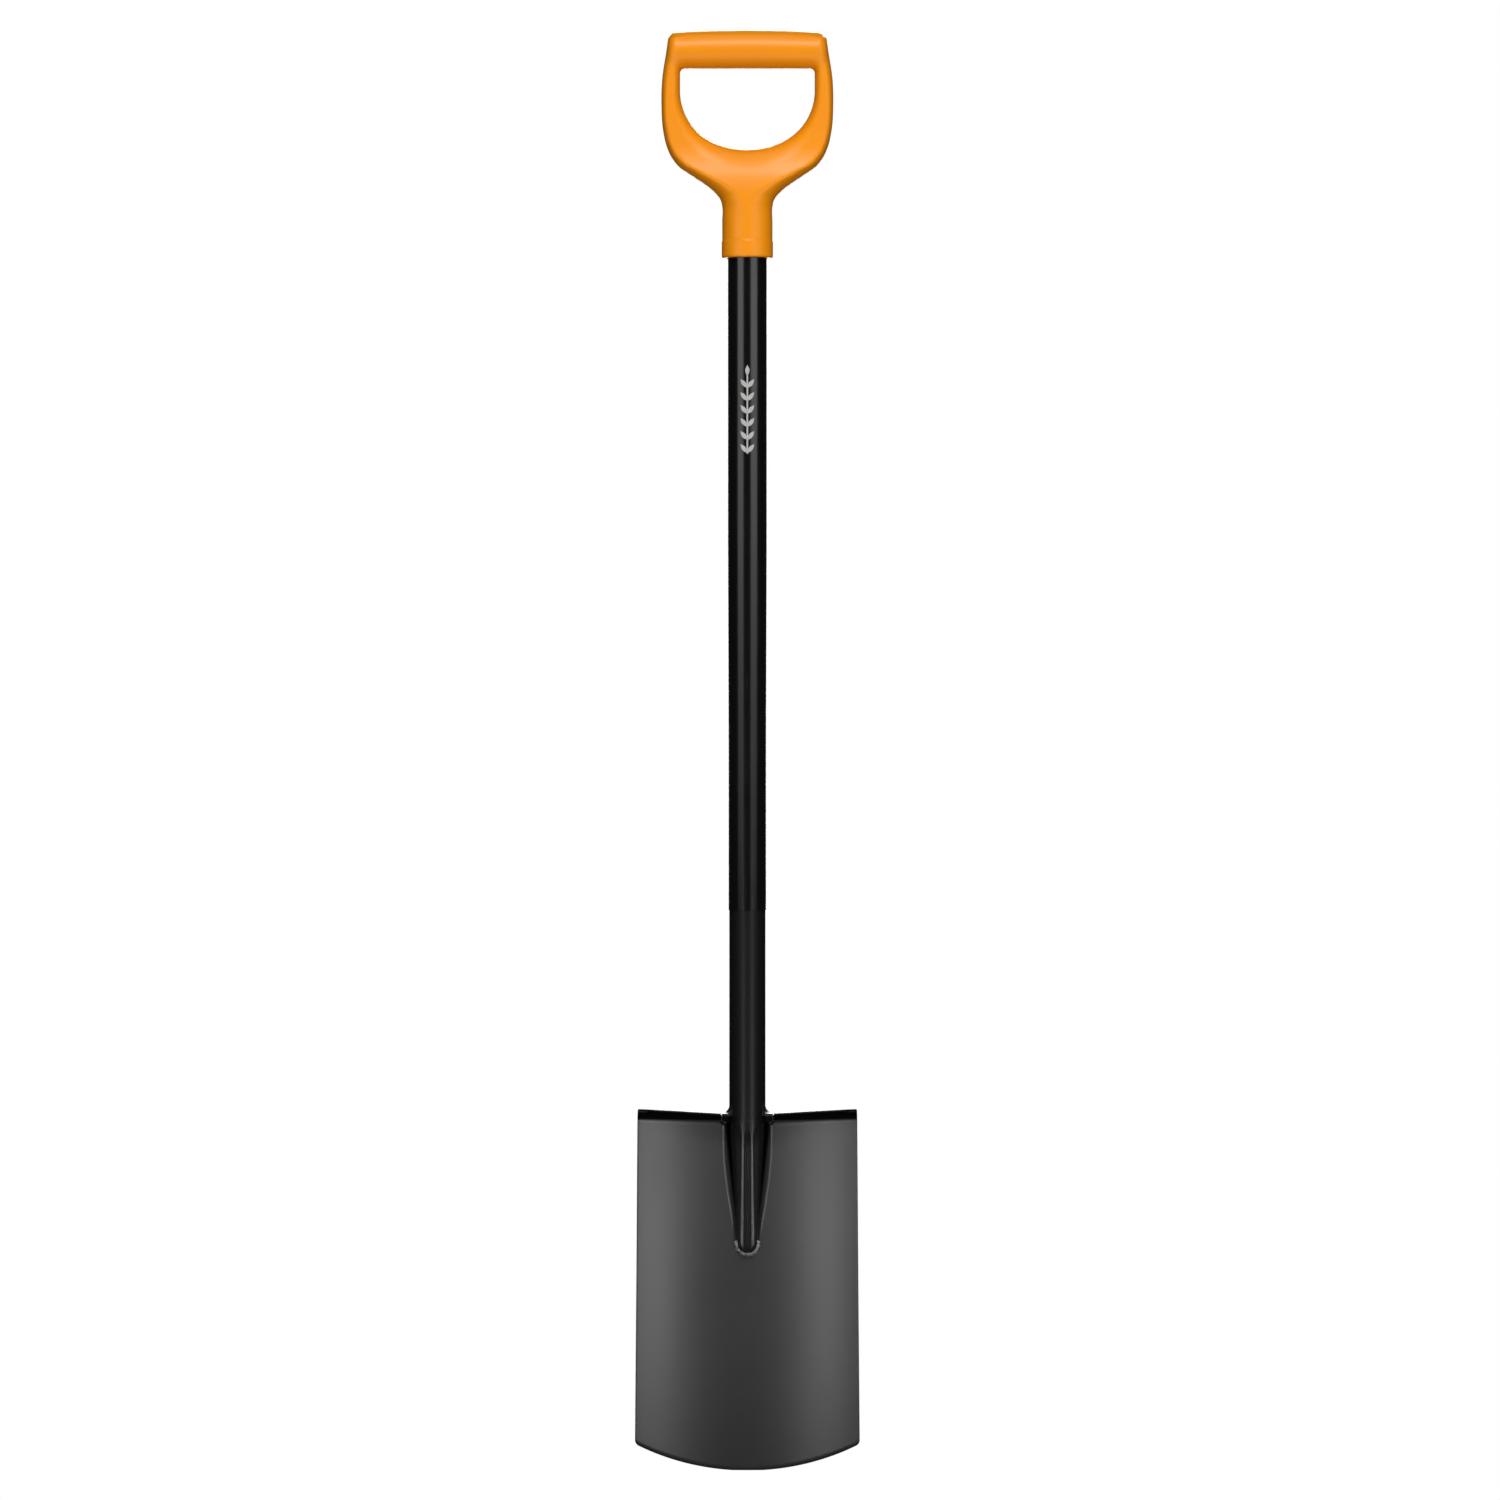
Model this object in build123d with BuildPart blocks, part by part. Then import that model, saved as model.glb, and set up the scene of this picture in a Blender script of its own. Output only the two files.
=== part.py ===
from build123d import *
from math import atan, atan2, cos, degrees, sin, sqrt
import os

# Digging spade: a dished steel blade with two foot treads, a steel tube whose flattened end lies in a
# trough pressed in the blade, a plastic sleeve over the tube, and a moulded D-grip fixed by one screw.
# +Z runs up the shaft, -Y is the dished front, and the origin is the cutting edge's lowest point,
# in line with the shaft. All sizes are in millimetres.

# ---- Driving dimensions ----
overall_height = 1170.0

# Blade
blade_length = 290.5  # cutting edge to the top of the treads, beside the tube
blade_top_width = 176.4
blade_bottom_width = 180.8
cutting_edge_rise = 23.0  # how far the curved edge's corners stand above its middle
corner_radius = 2.0
sheet_thickness = 2.0
dish_radius = 262.0
dish_front_at_treads = 1.0  # y of the sheet's front face on the centre line, at the treads
dish_front_at_edge = -2.0  # the same at the cutting edge
tread_front = -20.0  # y of the treads' front edges
tread_rise = 4.2  # each tread climbs this far towards its outer end
tread_bend_radius = 8.0
bevel_height = 1.5
bevel_depth = 1.0

# Shaft tube
tube_radius = 14.7
tube_wall = 1.5
toe_height = 176.5  # the flattened end's lowest point
toe_half_width = 7.4
toe_half_depth = 4.5
crease_radius = 7.5
crease_top = 278.0
crease_depth = 2.0  # how deep the crease is at the toe

# Trough in the blade for the tube
trough_side_gap = 2.5
toe_side_gap = 1.2
trough_back_gap = 0.2

# Sleeve
sleeve_wall = 1.0
sleeve_end_wall = 0.45  # the sleeve thins to this over its taper, and keeps it down to its lower end
sleeve_fit = 0.05  # radial gap between the sleeve and the tube
sleeve_bottom = 455.0
sleeve_taper_bottom = 590.0
sleeve_taper_top = 750.0

# Grip
socket_length = 55.5  # how far the tube enters the grip
socket_bottom = 984.5
socket_wall = 4.55
collar_step = 0.4  # how far the collar stands out from the neck
collar_height = 13.5
collar_edge_radius = 1.6
socket_fit = 0.1  # radial gap between the sleeve and the socket
spigot_fit = 0.1  # radial gap between the grip's spigot and the tube's bore
spigot_length = 40.0
grip_width = 139.6
grip_widest_below_top = 61.0
grip_top_width = 128.8
grip_top_drop = 2.4  # the top's gentle arch
grip_top_corner_radius = 5.0
shoulder_width = 138.0  # where the sides would meet the slopes
shoulder_below_top = 102.5
slope_bottom_below_top = 135.0  # where the slopes would meet the neck
shoulder_radius = 42.0
arm_foot_depth = 6.0  # how far the slopes run on inside the neck
arm_top_rise = 6.0  # how far the arms run on past the bar's axis, inside the bar
arm_depth = 24.0
arm_edge_radius = 4.4
bar_radius = 15.8
bar_end_radius = 14.8
opening_width = 109.4
opening_bottom_below_top = 97.1
opening_side_radius = 46.0
opening_bottom_radius = 70.0
# from the round neck out to the arms: mm below the top, extra half width, share of the neck's depth
horn_sections = [(142.0, 0.0, 1.0), (130.0, 5.5, 0.956), (118.0, 16.5, 0.805), (106.0, 23.5, 0.488)]

# Grip screw
screw_height = 1011.0
screw_shank_radius = 2.4
screw_head_radius = 4.4
screw_head_height = 2.6
screw_head_edge_radius = 0.85
screw_head_depth = 0.4  # how far the head's top lies below the neck's surface
screw_length = 15.0
screw_fit = 0.05
screw_head_fit = 0.3
driver_recess_radius = 1.9
driver_recess_depth = 1.6
driver_recess_sides = 6

# Welds
toe_bead_radius = 1.9
toe_bead_reach = 0.6  # from the toe's outline out to the middle of its bead
tread_bead = 6.0  # height and reach of the hollow bead between the tube and the treads
tread_bead_turn = 250.0  # degrees it runs round the back of the tube

# Print on the sleeve: a plain sprig of leaves
print_middle = 859.0
print_length = 76.0
print_thickness = 0.2
leaf_pairs = 6
lowest_leaf_rise = 3.4  # from the stem's foot to the middle of the lowest leaves
leaf_length = 8.2
leaf_width = 3.4
leaf_tilt = 38.0
leaf_reach = 2.7  # from the stem to the middle of each leaf
stem_width = 1.4

# ---- Worked-out places ----
tube_bore = tube_radius - tube_wall
tube_top = socket_bottom + socket_length
sleeve_bore = tube_radius + sleeve_fit
sleeve_radius = sleeve_bore + sleeve_wall
neck_radius = sleeve_radius + socket_fit + socket_wall
collar_radius = neck_radius + collar_step
toe_round_height = toe_height + toe_half_width  # centre of the toe's round outline
tread_slope = atan(tread_rise / (blade_top_width / 2 - tube_radius))
bar_height = overall_height - bar_radius
edge_lean = (dish_front_at_treads - dish_front_at_edge) / blade_length
screw_seat = neck_radius - screw_head_height - screw_head_depth  # y of the face under the screw's head
screw_tip = screw_seat + screw_head_height - screw_length
stem_length = print_length - leaf_length
stem_bottom = print_middle - stem_length / 2
leaf_step = stem_length / leaf_pairs


def dish_front(height):
    """y of the sheet's front face on the centre line."""
    return dish_front_at_edge + edge_lean * height


toe_centre = dish_front(toe_height) - trough_back_gap / 2 - toe_half_depth


def tube_section(height, grow_x=0.0, grow_y=0.0):
    """Half width, half depth and centre y of the tapering tube at a height below the treads."""
    share = (blade_length - height) / (blade_length - toe_height)
    half_width = tube_radius + (toe_half_width - tube_radius) * share
    half_depth = tube_radius + (toe_half_depth - tube_radius) * share
    return half_width + grow_x, half_depth + grow_y, toe_centre * share


def make_tapered_end(grow_top, grow_toe):
    """The tube's tapering end as a solid, grown by (x, y) amounts at the treads and at the toe."""
    with BuildPart() as tapered:
        for height, (grow_x, grow_y) in ((blade_length, grow_top), (toe_height, grow_toe)):
            half_width, half_depth, centre = tube_section(height, grow_x, grow_y)
            with BuildSketch(Plane.XY.offset(height)):
                with Locations((0, centre)):
                    Ellipse(half_width, half_depth)
        loft()
    return tapered.part


def make_crease(radius):
    """The rod that creases the tube's front, from the surface at the crease's top to its depth at the toe."""
    top_front = tube_section(crease_top)
    toe_front = tube_section(toe_height)
    start = Vector(0, top_front[2] - top_front[1] - crease_radius, crease_top)
    end = Vector(0, toe_front[2] - toe_front[1] - crease_radius + crease_depth, toe_height)
    along = end - start
    with BuildPart() as rod:
        with BuildSketch(Plane(origin=start, z_dir=along)):
            Circle(radius)
        extrude(amount=2 * along.length, both=True)
    return rod.part


def make_toe_core():
    """The tube's flattened end filled in, for cutting the weld round its nose."""
    with BuildPart() as core:
        add(make_tapered_end((0, 0), (0, 0)))
        with BuildSketch(Plane.XZ):
            with Locations((0, toe_height + toe_half_width / 2)):
                Rectangle(2 * tube_radius, toe_half_width)
            with Locations((0, toe_round_height)):
                Circle(toe_half_width, mode=Mode.SUBTRACT)
        extrude(amount=2 * tube_radius, both=True, mode=Mode.SUBTRACT)
    return core.part


# ---- Shaft tube: round above the treads, tapering to a creased, round-nosed toe ----
with BuildPart() as shaft_tube:
    add(make_toe_core())
    with BuildSketch(Plane.XY.offset(blade_length)):
        Circle(tube_radius)
    extrude(amount=tube_top - blade_length)
    add(make_crease(crease_radius), mode=Mode.SUBTRACT)
    bore_end = make_tapered_end((-tube_wall, -tube_wall), (-tube_wall, -tube_wall))
    add(bore_end - make_crease(crease_radius + tube_wall), mode=Mode.SUBTRACT)
    with BuildSketch(Plane.XY.offset(blade_length)):
        Circle(tube_bore)
    extrude(amount=tube_top - blade_length, mode=Mode.SUBTRACT)
    with BuildSketch(Plane.XZ):
        with Locations((0, screw_height)):
            Circle(screw_shank_radius + screw_fit)
    extrude(amount=-2 * tube_radius, mode=Mode.SUBTRACT)
shaft_tube.part.label = "shaft_tube"

# ---- Sleeve ----
with BuildPart() as shaft_sleeve:
    with BuildSketch(Plane.XZ) as sleeve_profile:
        with BuildLine():
            Polyline(
                (sleeve_bore, sleeve_bottom), (sleeve_bore + sleeve_end_wall, sleeve_bottom),
                (sleeve_bore + sleeve_end_wall, sleeve_taper_bottom),
                (sleeve_radius, sleeve_taper_top), (sleeve_radius, tube_top), (sleeve_bore, tube_top),
                close=True,
            )
        make_face()
    revolve(axis=Axis.Z)
    with BuildSketch(Plane.XZ):
        with Locations((0, screw_height)):
            Circle(screw_shank_radius + screw_fit)
    extrude(amount=-2 * sleeve_radius, mode=Mode.SUBTRACT)
shaft_sleeve.part.label = "shaft_sleeve"

# ---- Blade ----
blade_plane = Plane(
    origin=(0, dish_front_at_treads, blade_length), x_dir=(1, 0, 0), z_dir=(0, edge_lean, 1)
)
tread_plane = Plane(
    origin=(tube_radius, 0, blade_length), x_dir=(0, 1, 0), z_dir=(-sin(tread_slope), 0, cos(tread_slope))
)


def make_dish_body(radius, drop, bend_radius):
    """Right half of the space in front of one face of the sheet: a leaning cylinder under the tread."""
    with BuildPart() as body:
        with BuildSketch(blade_plane.offset(-blade_length - cutting_edge_rise)):
            with Locations((0, -dish_radius)):
                Circle(radius)
        extrude(amount=blade_length + 3 * cutting_edge_rise)
        split(bisect_by=tread_plane.offset(-drop), keep=Keep.BOTTOM)
        fillet(body.faces().sort_by(Axis.Z)[-1].edges(), bend_radius)
        split(bisect_by=Plane.YZ, keep=Keep.TOP)
    return body.part


trough_gaps = (trough_side_gap, trough_back_gap), (toe_side_gap, trough_back_gap)
trough_outside = tuple((x + sheet_thickness, y + sheet_thickness) for x, y in trough_gaps)
back_half = make_dish_body(dish_radius + sheet_thickness, 0, tread_bend_radius + sheet_thickness)
front_half = make_dish_body(dish_radius, sheet_thickness, tread_bend_radius)
dish_front_body = front_half + mirror(front_half, about=Plane.YZ)

# the blade seen from the front
side_lean = (blade_bottom_width - blade_top_width) / 2 / (blade_length - cutting_edge_rise)
outline_top = blade_length + 2 * tread_rise
half_top = blade_top_width / 2 - side_lean * 2 * tread_rise
half_bottom = blade_bottom_width / 2
with BuildSketch(Plane.XZ) as blade_outline:
    with BuildLine():
        Polyline(
            (-half_bottom, cutting_edge_rise), (-half_top, outline_top),
            (half_top, outline_top), (half_bottom, cutting_edge_rise),
        )
        ThreePointArc((half_bottom, cutting_edge_rise), (0, 0), (-half_bottom, cutting_edge_rise))
    make_face()
    fillet(blade_outline.vertices().group_by(Axis.Y)[0], corner_radius)

with BuildPart() as blade:
    add(back_half + mirror(back_half, about=Plane.YZ))
    add(dish_front_body, mode=Mode.SUBTRACT)
    extrude(blade_outline.sketch, amount=-tread_front, both=True, mode=Mode.INTERSECT)
    cutting_edges = blade.faces().filter_by(GeomType.CYLINDER).sort_by(Axis.Z)[0].edges()
    chamfer(cutting_edges.sort_by(SortBy.LENGTH)[-2:].sort_by(Axis.Y)[0], bevel_height, bevel_depth)
    # the trough for the tube
    add(make_tapered_end(*trough_outside) - dish_front_body)
    add(make_tapered_end(*trough_gaps), mode=Mode.SUBTRACT)
    # the treads stop either side of the tube
    with BuildSketch(Plane.XZ) as tread_slot:
        with Locations((0, blade_length)):
            Rectangle(2 * (tube_radius + tread_bead), 2 * tread_bend_radius)
    extrude(amount=dish_radius, mode=Mode.SUBTRACT)
blade.part.label = "blade"

# ---- Grip ----
side_top = (grip_top_width / 2, overall_height - grip_top_drop)
shoulder = (shoulder_width / 2, overall_height - shoulder_below_top)
slope_rise = (slope_bottom_below_top - shoulder_below_top) / (shoulder[0] - neck_radius)
foot_half_width = neck_radius - arm_foot_depth
arm_foot = (foot_half_width, shoulder[1] - slope_rise * (shoulder[0] - foot_half_width))
arm_top = bar_height + arm_top_rise
opening_bottom = overall_height - opening_bottom_below_top
side_circle_x = opening_width / 2 - opening_side_radius
side_circle_z = opening_bottom + opening_bottom_radius - sqrt(
    (opening_bottom_radius - opening_side_radius) ** 2 - side_circle_x**2
)
side_turn = degrees(
    atan2(opening_bottom + opening_bottom_radius - side_circle_z, side_circle_x)
)

with BuildSketch(Plane.XZ) as arm_outline:
    with BuildLine():
        ThreePointArc(shoulder, (grip_width / 2, overall_height - grip_widest_below_top), side_top)
        Polyline(side_top, (0, side_top[1]), (0, arm_foot[1]), arm_foot, shoulder)
    make_face()
    fillet(arm_outline.vertices().sort_by_distance(Vector(*shoulder, 0))[0], shoulder_radius)
    mirror(about=Plane.YZ)
    with BuildLine():
        CenterArc((side_circle_x, side_circle_z), opening_side_radius, -side_turn, side_turn)
        CenterArc(
            (0, opening_bottom + opening_bottom_radius), opening_bottom_radius, -90, 90 - side_turn
        )
        Polyline(
            (opening_width / 2, side_circle_z), (opening_width / 2, overall_height),
            (0, overall_height), (0, opening_bottom),
        )
    opening_half = make_face(mode=Mode.PRIVATE)
    add(opening_half, mode=Mode.SUBTRACT)
    mirror(opening_half, about=Plane.YZ, mode=Mode.SUBTRACT)
    with Locations((0, arm_top + bar_radius)):
        Rectangle(grip_width, 2 * bar_radius, mode=Mode.SUBTRACT)

with BuildPart() as grip_body:
    extrude(arm_outline.sketch, amount=arm_depth / 2, both=True)
    flat_faces = grip_body.faces().filter_by(Axis.Y)
    fillet(flat_faces.edges(), arm_edge_radius)
    # bar
    half_bar = grip_top_width / 2
    with BuildSketch(Plane.XZ) as bar_profile:
        with BuildLine():
            ThreePointArc(
                (-half_bar, bar_height + bar_end_radius), (0, bar_height + bar_radius),
                (half_bar, bar_height + bar_end_radius),
            )
            Polyline(
                (half_bar, bar_height + bar_end_radius), (half_bar, bar_height),
                (-half_bar, bar_height), (-half_bar, bar_height + bar_end_radius),
            )
        make_face()
        fillet(bar_profile.vertices().group_by(Axis.Y)[-1], grip_top_corner_radius)
    revolve(axis=Axis((0, 0, bar_height), (1, 0, 0)))
    # horn: from the round neck out to the arms
    for below_top, extra_width, depth_share in horn_sections:
        with BuildSketch(Plane.XY.offset(overall_height - below_top)):
            Ellipse(neck_radius + extra_width, neck_radius * depth_share)
    loft()
    # socket and collar
    neck_top = overall_height - horn_sections[0][0]
    with BuildSketch(Plane.XY.offset(socket_bottom)):
        Circle(neck_radius)
    extrude(amount=neck_top - socket_bottom)
    with BuildSketch(Plane.XY.offset(socket_bottom)):
        Circle(collar_radius)
    extrude(amount=collar_height)
    fillet(grip_body.faces().sort_by(Axis.Z)[0].edges(), collar_edge_radius)
    with BuildSketch(Plane.XY.offset(socket_bottom)):
        Circle(sleeve_radius + socket_fit)
        Circle(tube_bore - spigot_fit, mode=Mode.SUBTRACT)
    extrude(amount=socket_length, mode=Mode.SUBTRACT)
    with BuildSketch(Plane.XY.offset(socket_bottom)):
        Circle(tube_bore)
    extrude(amount=socket_length - spigot_length, mode=Mode.SUBTRACT)
    # screw hole and its countersunk seat, at the back
    with BuildSketch(Plane.XZ.offset(-screw_tip)):
        with Locations((0, screw_height)):
            Circle(screw_shank_radius + screw_fit)
    extrude(amount=-neck_radius, mode=Mode.SUBTRACT)
    with BuildSketch(Plane.XZ.offset(-screw_seat)):
        with Locations((0, screw_height)):
            Circle(screw_head_radius + screw_head_fit)
    extrude(amount=-neck_radius, mode=Mode.SUBTRACT)
grip_body.part.label = "grip_body"

# ---- Grip screw, driven in from the back ----
with BuildPart() as grip_screw:
    with BuildSketch(Plane.XZ.offset(-screw_tip)):
        with Locations((0, screw_height)):
            Circle(screw_shank_radius)
    extrude(amount=-screw_length)
    chamfer(grip_screw.faces().sort_by(Axis.Y)[0].edges(), screw_shank_radius / 2)
    with BuildSketch(Plane.XZ.offset(-screw_seat)):
        with Locations((0, screw_height)):
            Circle(screw_head_radius)
    extrude(amount=-screw_head_height)
    fillet(grip_screw.faces().sort_by(Axis.Y)[-1].edges(), screw_head_edge_radius)
    with BuildSketch(Plane.XZ.offset(-screw_seat - screw_head_height + driver_recess_depth)):
        with Locations((0, screw_height)):
            RegularPolygon(driver_recess_radius, driver_recess_sides)
    extrude(amount=-screw_head_height, mode=Mode.SUBTRACT)
grip_screw.part.label = "grip_screw"

# ---- Welds ----
toe_weld_y = dish_front(toe_height) - toe_bead_radius / 2
bead_path_radius = toe_half_width + toe_bead_reach
with BuildPart() as toe_weld:
    with BuildSketch(Plane.XY.offset(toe_round_height)):
        with Locations((bead_path_radius, toe_weld_y)):
            Circle(toe_bead_radius)
    revolve(axis=Axis((0, toe_weld_y, toe_round_height), (0, 1, 0)), revolution_arc=180)
    bead_ends = [(side * bead_path_radius, toe_weld_y, toe_round_height) for side in (-1, 1)]
    with Locations(*bead_ends):
        Sphere(toe_bead_radius)
    add(blade.part, mode=Mode.SUBTRACT)
    add(make_toe_core(), mode=Mode.SUBTRACT)
toe_weld.part.label = "toe_weld"

with BuildPart() as tread_weld:
    bead_bottom = blade_length - tread_bend_radius
    start_turn = 90 - tread_bead_turn / 2
    reach = tube_radius + tread_bead
    with BuildSketch(Plane.XZ.rotated((0, 0, start_turn))) as bead_profile:
        with BuildLine():
            Polyline(
                (tube_radius, blade_length + tread_bead), (tube_radius, bead_bottom),
                (reach, bead_bottom), (reach, blade_length),
            )
            RadiusArc((reach, blade_length), (tube_radius, blade_length + tread_bead), tread_bead)
        make_face()
    revolve(axis=Axis.Z, revolution_arc=tread_bead_turn)
    # filler between the tube and the treads' inner ends
    with BuildSketch(Plane.XY.offset(blade_length - sheet_thickness)):
        with Locations((0, tread_front / 2)):
            Rectangle(2 * reach, -tread_front)
        with Locations((0, tread_front)):
            Rectangle(2 * tube_radius, -2 * tread_front, mode=Mode.SUBTRACT)
        Circle(tube_radius, mode=Mode.SUBTRACT)
    extrude(amount=sheet_thickness)
    add(blade.part, mode=Mode.SUBTRACT)
    add(dish_front_body, mode=Mode.SUBTRACT)
tread_weld.part.label = "tread_weld"

# ---- Print on the sleeve's front ----
with BuildPart() as shaft_print:
    with BuildSketch(Plane.XZ.offset(tube_radius)) as sprig:
        with Locations((0, print_middle)):
            Rectangle(stem_width, stem_length)
        for index in range(leaf_pairs):
            leaf_height = stem_bottom + lowest_leaf_rise + index * leaf_step
            for side in (-1, 1):
                with Locations(Location((side * leaf_reach, leaf_height, 0), (0, 0, -side * leaf_tilt))):
                    Ellipse(leaf_width / 2, leaf_length / 2)
        with Locations((0, stem_bottom + stem_length)):
            Ellipse(leaf_width / 2, leaf_length / 2)
    extrude(amount=sleeve_radius)
    with BuildSketch(Plane.XY.offset(print_middle - print_length)) as print_ring:
        Circle(sleeve_radius + print_thickness)
        Circle(sleeve_radius, mode=Mode.SUBTRACT)
    extrude(amount=2 * print_length, mode=Mode.INTERSECT)
shaft_print.part.label = "shaft_print"

os.makedirs("parts", exist_ok=True)
for piece in (
    grip_body, grip_screw, shaft_sleeve, shaft_tube, blade, toe_weld, tread_weld, shaft_print
):
    export_step(piece.part, f"parts/{piece.part.label}.step")
    box = piece.part.bounding_box()
    print(piece.part.label, len(piece.part.solids()), round(piece.part.volume), box.min, box.max)
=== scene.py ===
import math
import bpy
import numpy as np
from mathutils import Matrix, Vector


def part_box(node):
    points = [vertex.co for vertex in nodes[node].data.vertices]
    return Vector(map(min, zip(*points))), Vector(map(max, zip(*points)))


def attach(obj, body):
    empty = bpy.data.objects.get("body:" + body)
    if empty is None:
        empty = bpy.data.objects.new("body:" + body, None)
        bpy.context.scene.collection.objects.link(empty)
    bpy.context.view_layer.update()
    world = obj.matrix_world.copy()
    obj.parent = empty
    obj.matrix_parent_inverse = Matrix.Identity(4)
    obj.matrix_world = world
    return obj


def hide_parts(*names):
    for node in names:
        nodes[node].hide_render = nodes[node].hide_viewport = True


# Digging spade: pressed steel blade, tube shaft with a plastic sleeve, moulded D-grip.
# +Z runs up the shaft and -Y is the dished front. Metres throughout.

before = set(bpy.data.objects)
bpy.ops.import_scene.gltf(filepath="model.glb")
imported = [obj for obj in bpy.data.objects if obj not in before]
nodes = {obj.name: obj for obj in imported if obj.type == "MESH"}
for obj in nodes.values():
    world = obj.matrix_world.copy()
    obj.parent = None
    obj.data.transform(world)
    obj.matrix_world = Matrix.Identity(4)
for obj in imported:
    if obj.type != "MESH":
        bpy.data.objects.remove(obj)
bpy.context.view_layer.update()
mm = 0.001


def linkObject(name, mesh):
    piece = bpy.data.objects.new(name, mesh)
    bpy.context.scene.collection.objects.link(piece)
    return piece


def meshPiece(name, points, faces, smooth=True):
    mesh = bpy.data.meshes.new(name)
    mesh.from_pydata([tuple(p) for p in points], [], [tuple(f) for f in faces])
    mesh.update()
    mesh.polygons.foreach_set("use_smooth", [smooth] * len(mesh.polygons))
    return linkObject(name, mesh)


def bakeModifiers(piece):
    # turns the evaluated shape into the piece's own plain mesh
    graph = bpy.context.evaluated_depsgraph_get()
    graph.update()
    mesh = bpy.data.meshes.new_from_object(piece.evaluated_get(graph))
    piece.modifiers.clear()
    piece.data = mesh
    mesh.name = piece.name
    return piece


def smoothStep(value, low, high):
    share = np.clip((value - low) / (high - low), 0, 1)
    return share * share * (3 - 2 * share)


def dress(piece, finish, stands=()):
    # gives a new piece its finish and its body, and hides the CAD nodes it stands for
    piece.data.materials.clear()
    piece.data.materials.append(finish)
    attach(piece, "root")
    if stands:
        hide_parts(*stands)


def addNode(tree, kind, settings=None, **inputs):
    made = tree.nodes.new(kind)
    for key, value in (settings or {}).items():
        setattr(made, key, value)
    for key, value in inputs.items():
        socket = made.inputs[key.replace("_", " ")]
        if isinstance(value, bpy.types.NodeSocket):
            tree.links.new(value, socket)
        else:
            socket.default_value = value
    return made


def maths(tree, operation, first, second=None, clamp=False):
    made = tree.nodes.new("ShaderNodeMath")
    made.operation = operation
    made.use_clamp = clamp
    for socket, value in zip(made.inputs, (first, second)):
        if isinstance(value, bpy.types.NodeSocket):
            tree.links.new(value, socket)
        elif value is not None:
            socket.default_value = value
    return made.outputs[0]


def times(tree, first, second, clamp=False):
    return maths(tree, "MULTIPLY", first, second, clamp)


def plus(tree, first, second, clamp=False):
    return maths(tree, "ADD", first, second, clamp)


def minus(tree, first, second):
    return maths(tree, "SUBTRACT", first, second)


def newGroup(name, inputs, outputs):
    group = bpy.data.node_groups.new(name, "ShaderNodeTree")
    for label, kind, value in inputs:
        socket = group.interface.new_socket(name=label, in_out="INPUT", socket_type=kind)
        if value is not None:
            socket.default_value = value
    for label, kind in outputs:
        group.interface.new_socket(name=label, in_out="OUTPUT", socket_type=kind)
    return group, group.nodes.new("NodeGroupInput"), group.nodes.new("NodeGroupOutput")


def makeGrainGroup():
    # fine moulded or sprayed grain: a height for bump, and a slow mask for colour and gloss
    group, given, out = newGroup(
        "surfaceGrain",
        [("Vector", "NodeSocketVector", None), ("Grain Scale", "NodeSocketFloat", 900.0),
         ("Wave Scale", "NodeSocketFloat", 60.0), ("Wave Share", "NodeSocketFloat", 0.4),
         ("Patch Scale", "NodeSocketFloat", 14.0)],
        [("Height", "NodeSocketFloat"), ("Patches", "NodeSocketFloat")],
    )
    fine = addNode(group, "ShaderNodeTexNoise", Vector=given.outputs["Vector"],
                   Scale=given.outputs["Grain Scale"], Detail=3.0, Roughness=0.55)
    wave = addNode(group, "ShaderNodeTexNoise", Vector=given.outputs["Vector"],
                   Scale=given.outputs["Wave Scale"], Detail=1.0)
    patch = addNode(group, "ShaderNodeTexNoise", Vector=given.outputs["Vector"],
                    Scale=given.outputs["Patch Scale"], Detail=4.0, Roughness=0.6)
    waves = times(group, wave.outputs["Fac"], given.outputs["Wave Share"])
    group.links.new(plus(group, fine.outputs["Fac"], waves), out.inputs["Height"])
    group.links.new(patch.outputs["Fac"], out.inputs["Patches"])
    return group


def makeWearGroup():
    # rubbed edges: convex edges broken up by noise
    group, given, out = newGroup(
        "rubbedEdges",
        [("Vector", "NodeSocketVector", None), ("Edge Start", "NodeSocketFloat", 0.53),
         ("Edge End", "NodeSocketFloat", 0.60), ("Break Up", "NodeSocketFloat", 220.0)],
        [("Mask", "NodeSocketFloat")],
    )
    shape = addNode(group, "ShaderNodeNewGeometry")
    edge = addNode(group, "ShaderNodeMapRange", settings={"interpolation_type": "SMOOTHSTEP"},
                   Value=shape.outputs["Pointiness"], From_Min=given.outputs["Edge Start"],
                   From_Max=given.outputs["Edge End"])
    flecks = addNode(group, "ShaderNodeTexNoise", Vector=given.outputs["Vector"],
                     Scale=given.outputs["Break Up"], Detail=5.0, Roughness=0.7)
    broken = addNode(group, "ShaderNodeMapRange", Value=flecks.outputs["Fac"], From_Min=0.40, From_Max=0.62)
    group.links.new(times(group, edge.outputs["Result"], broken.outputs["Result"], True),
                    out.inputs["Mask"])
    return group


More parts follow.
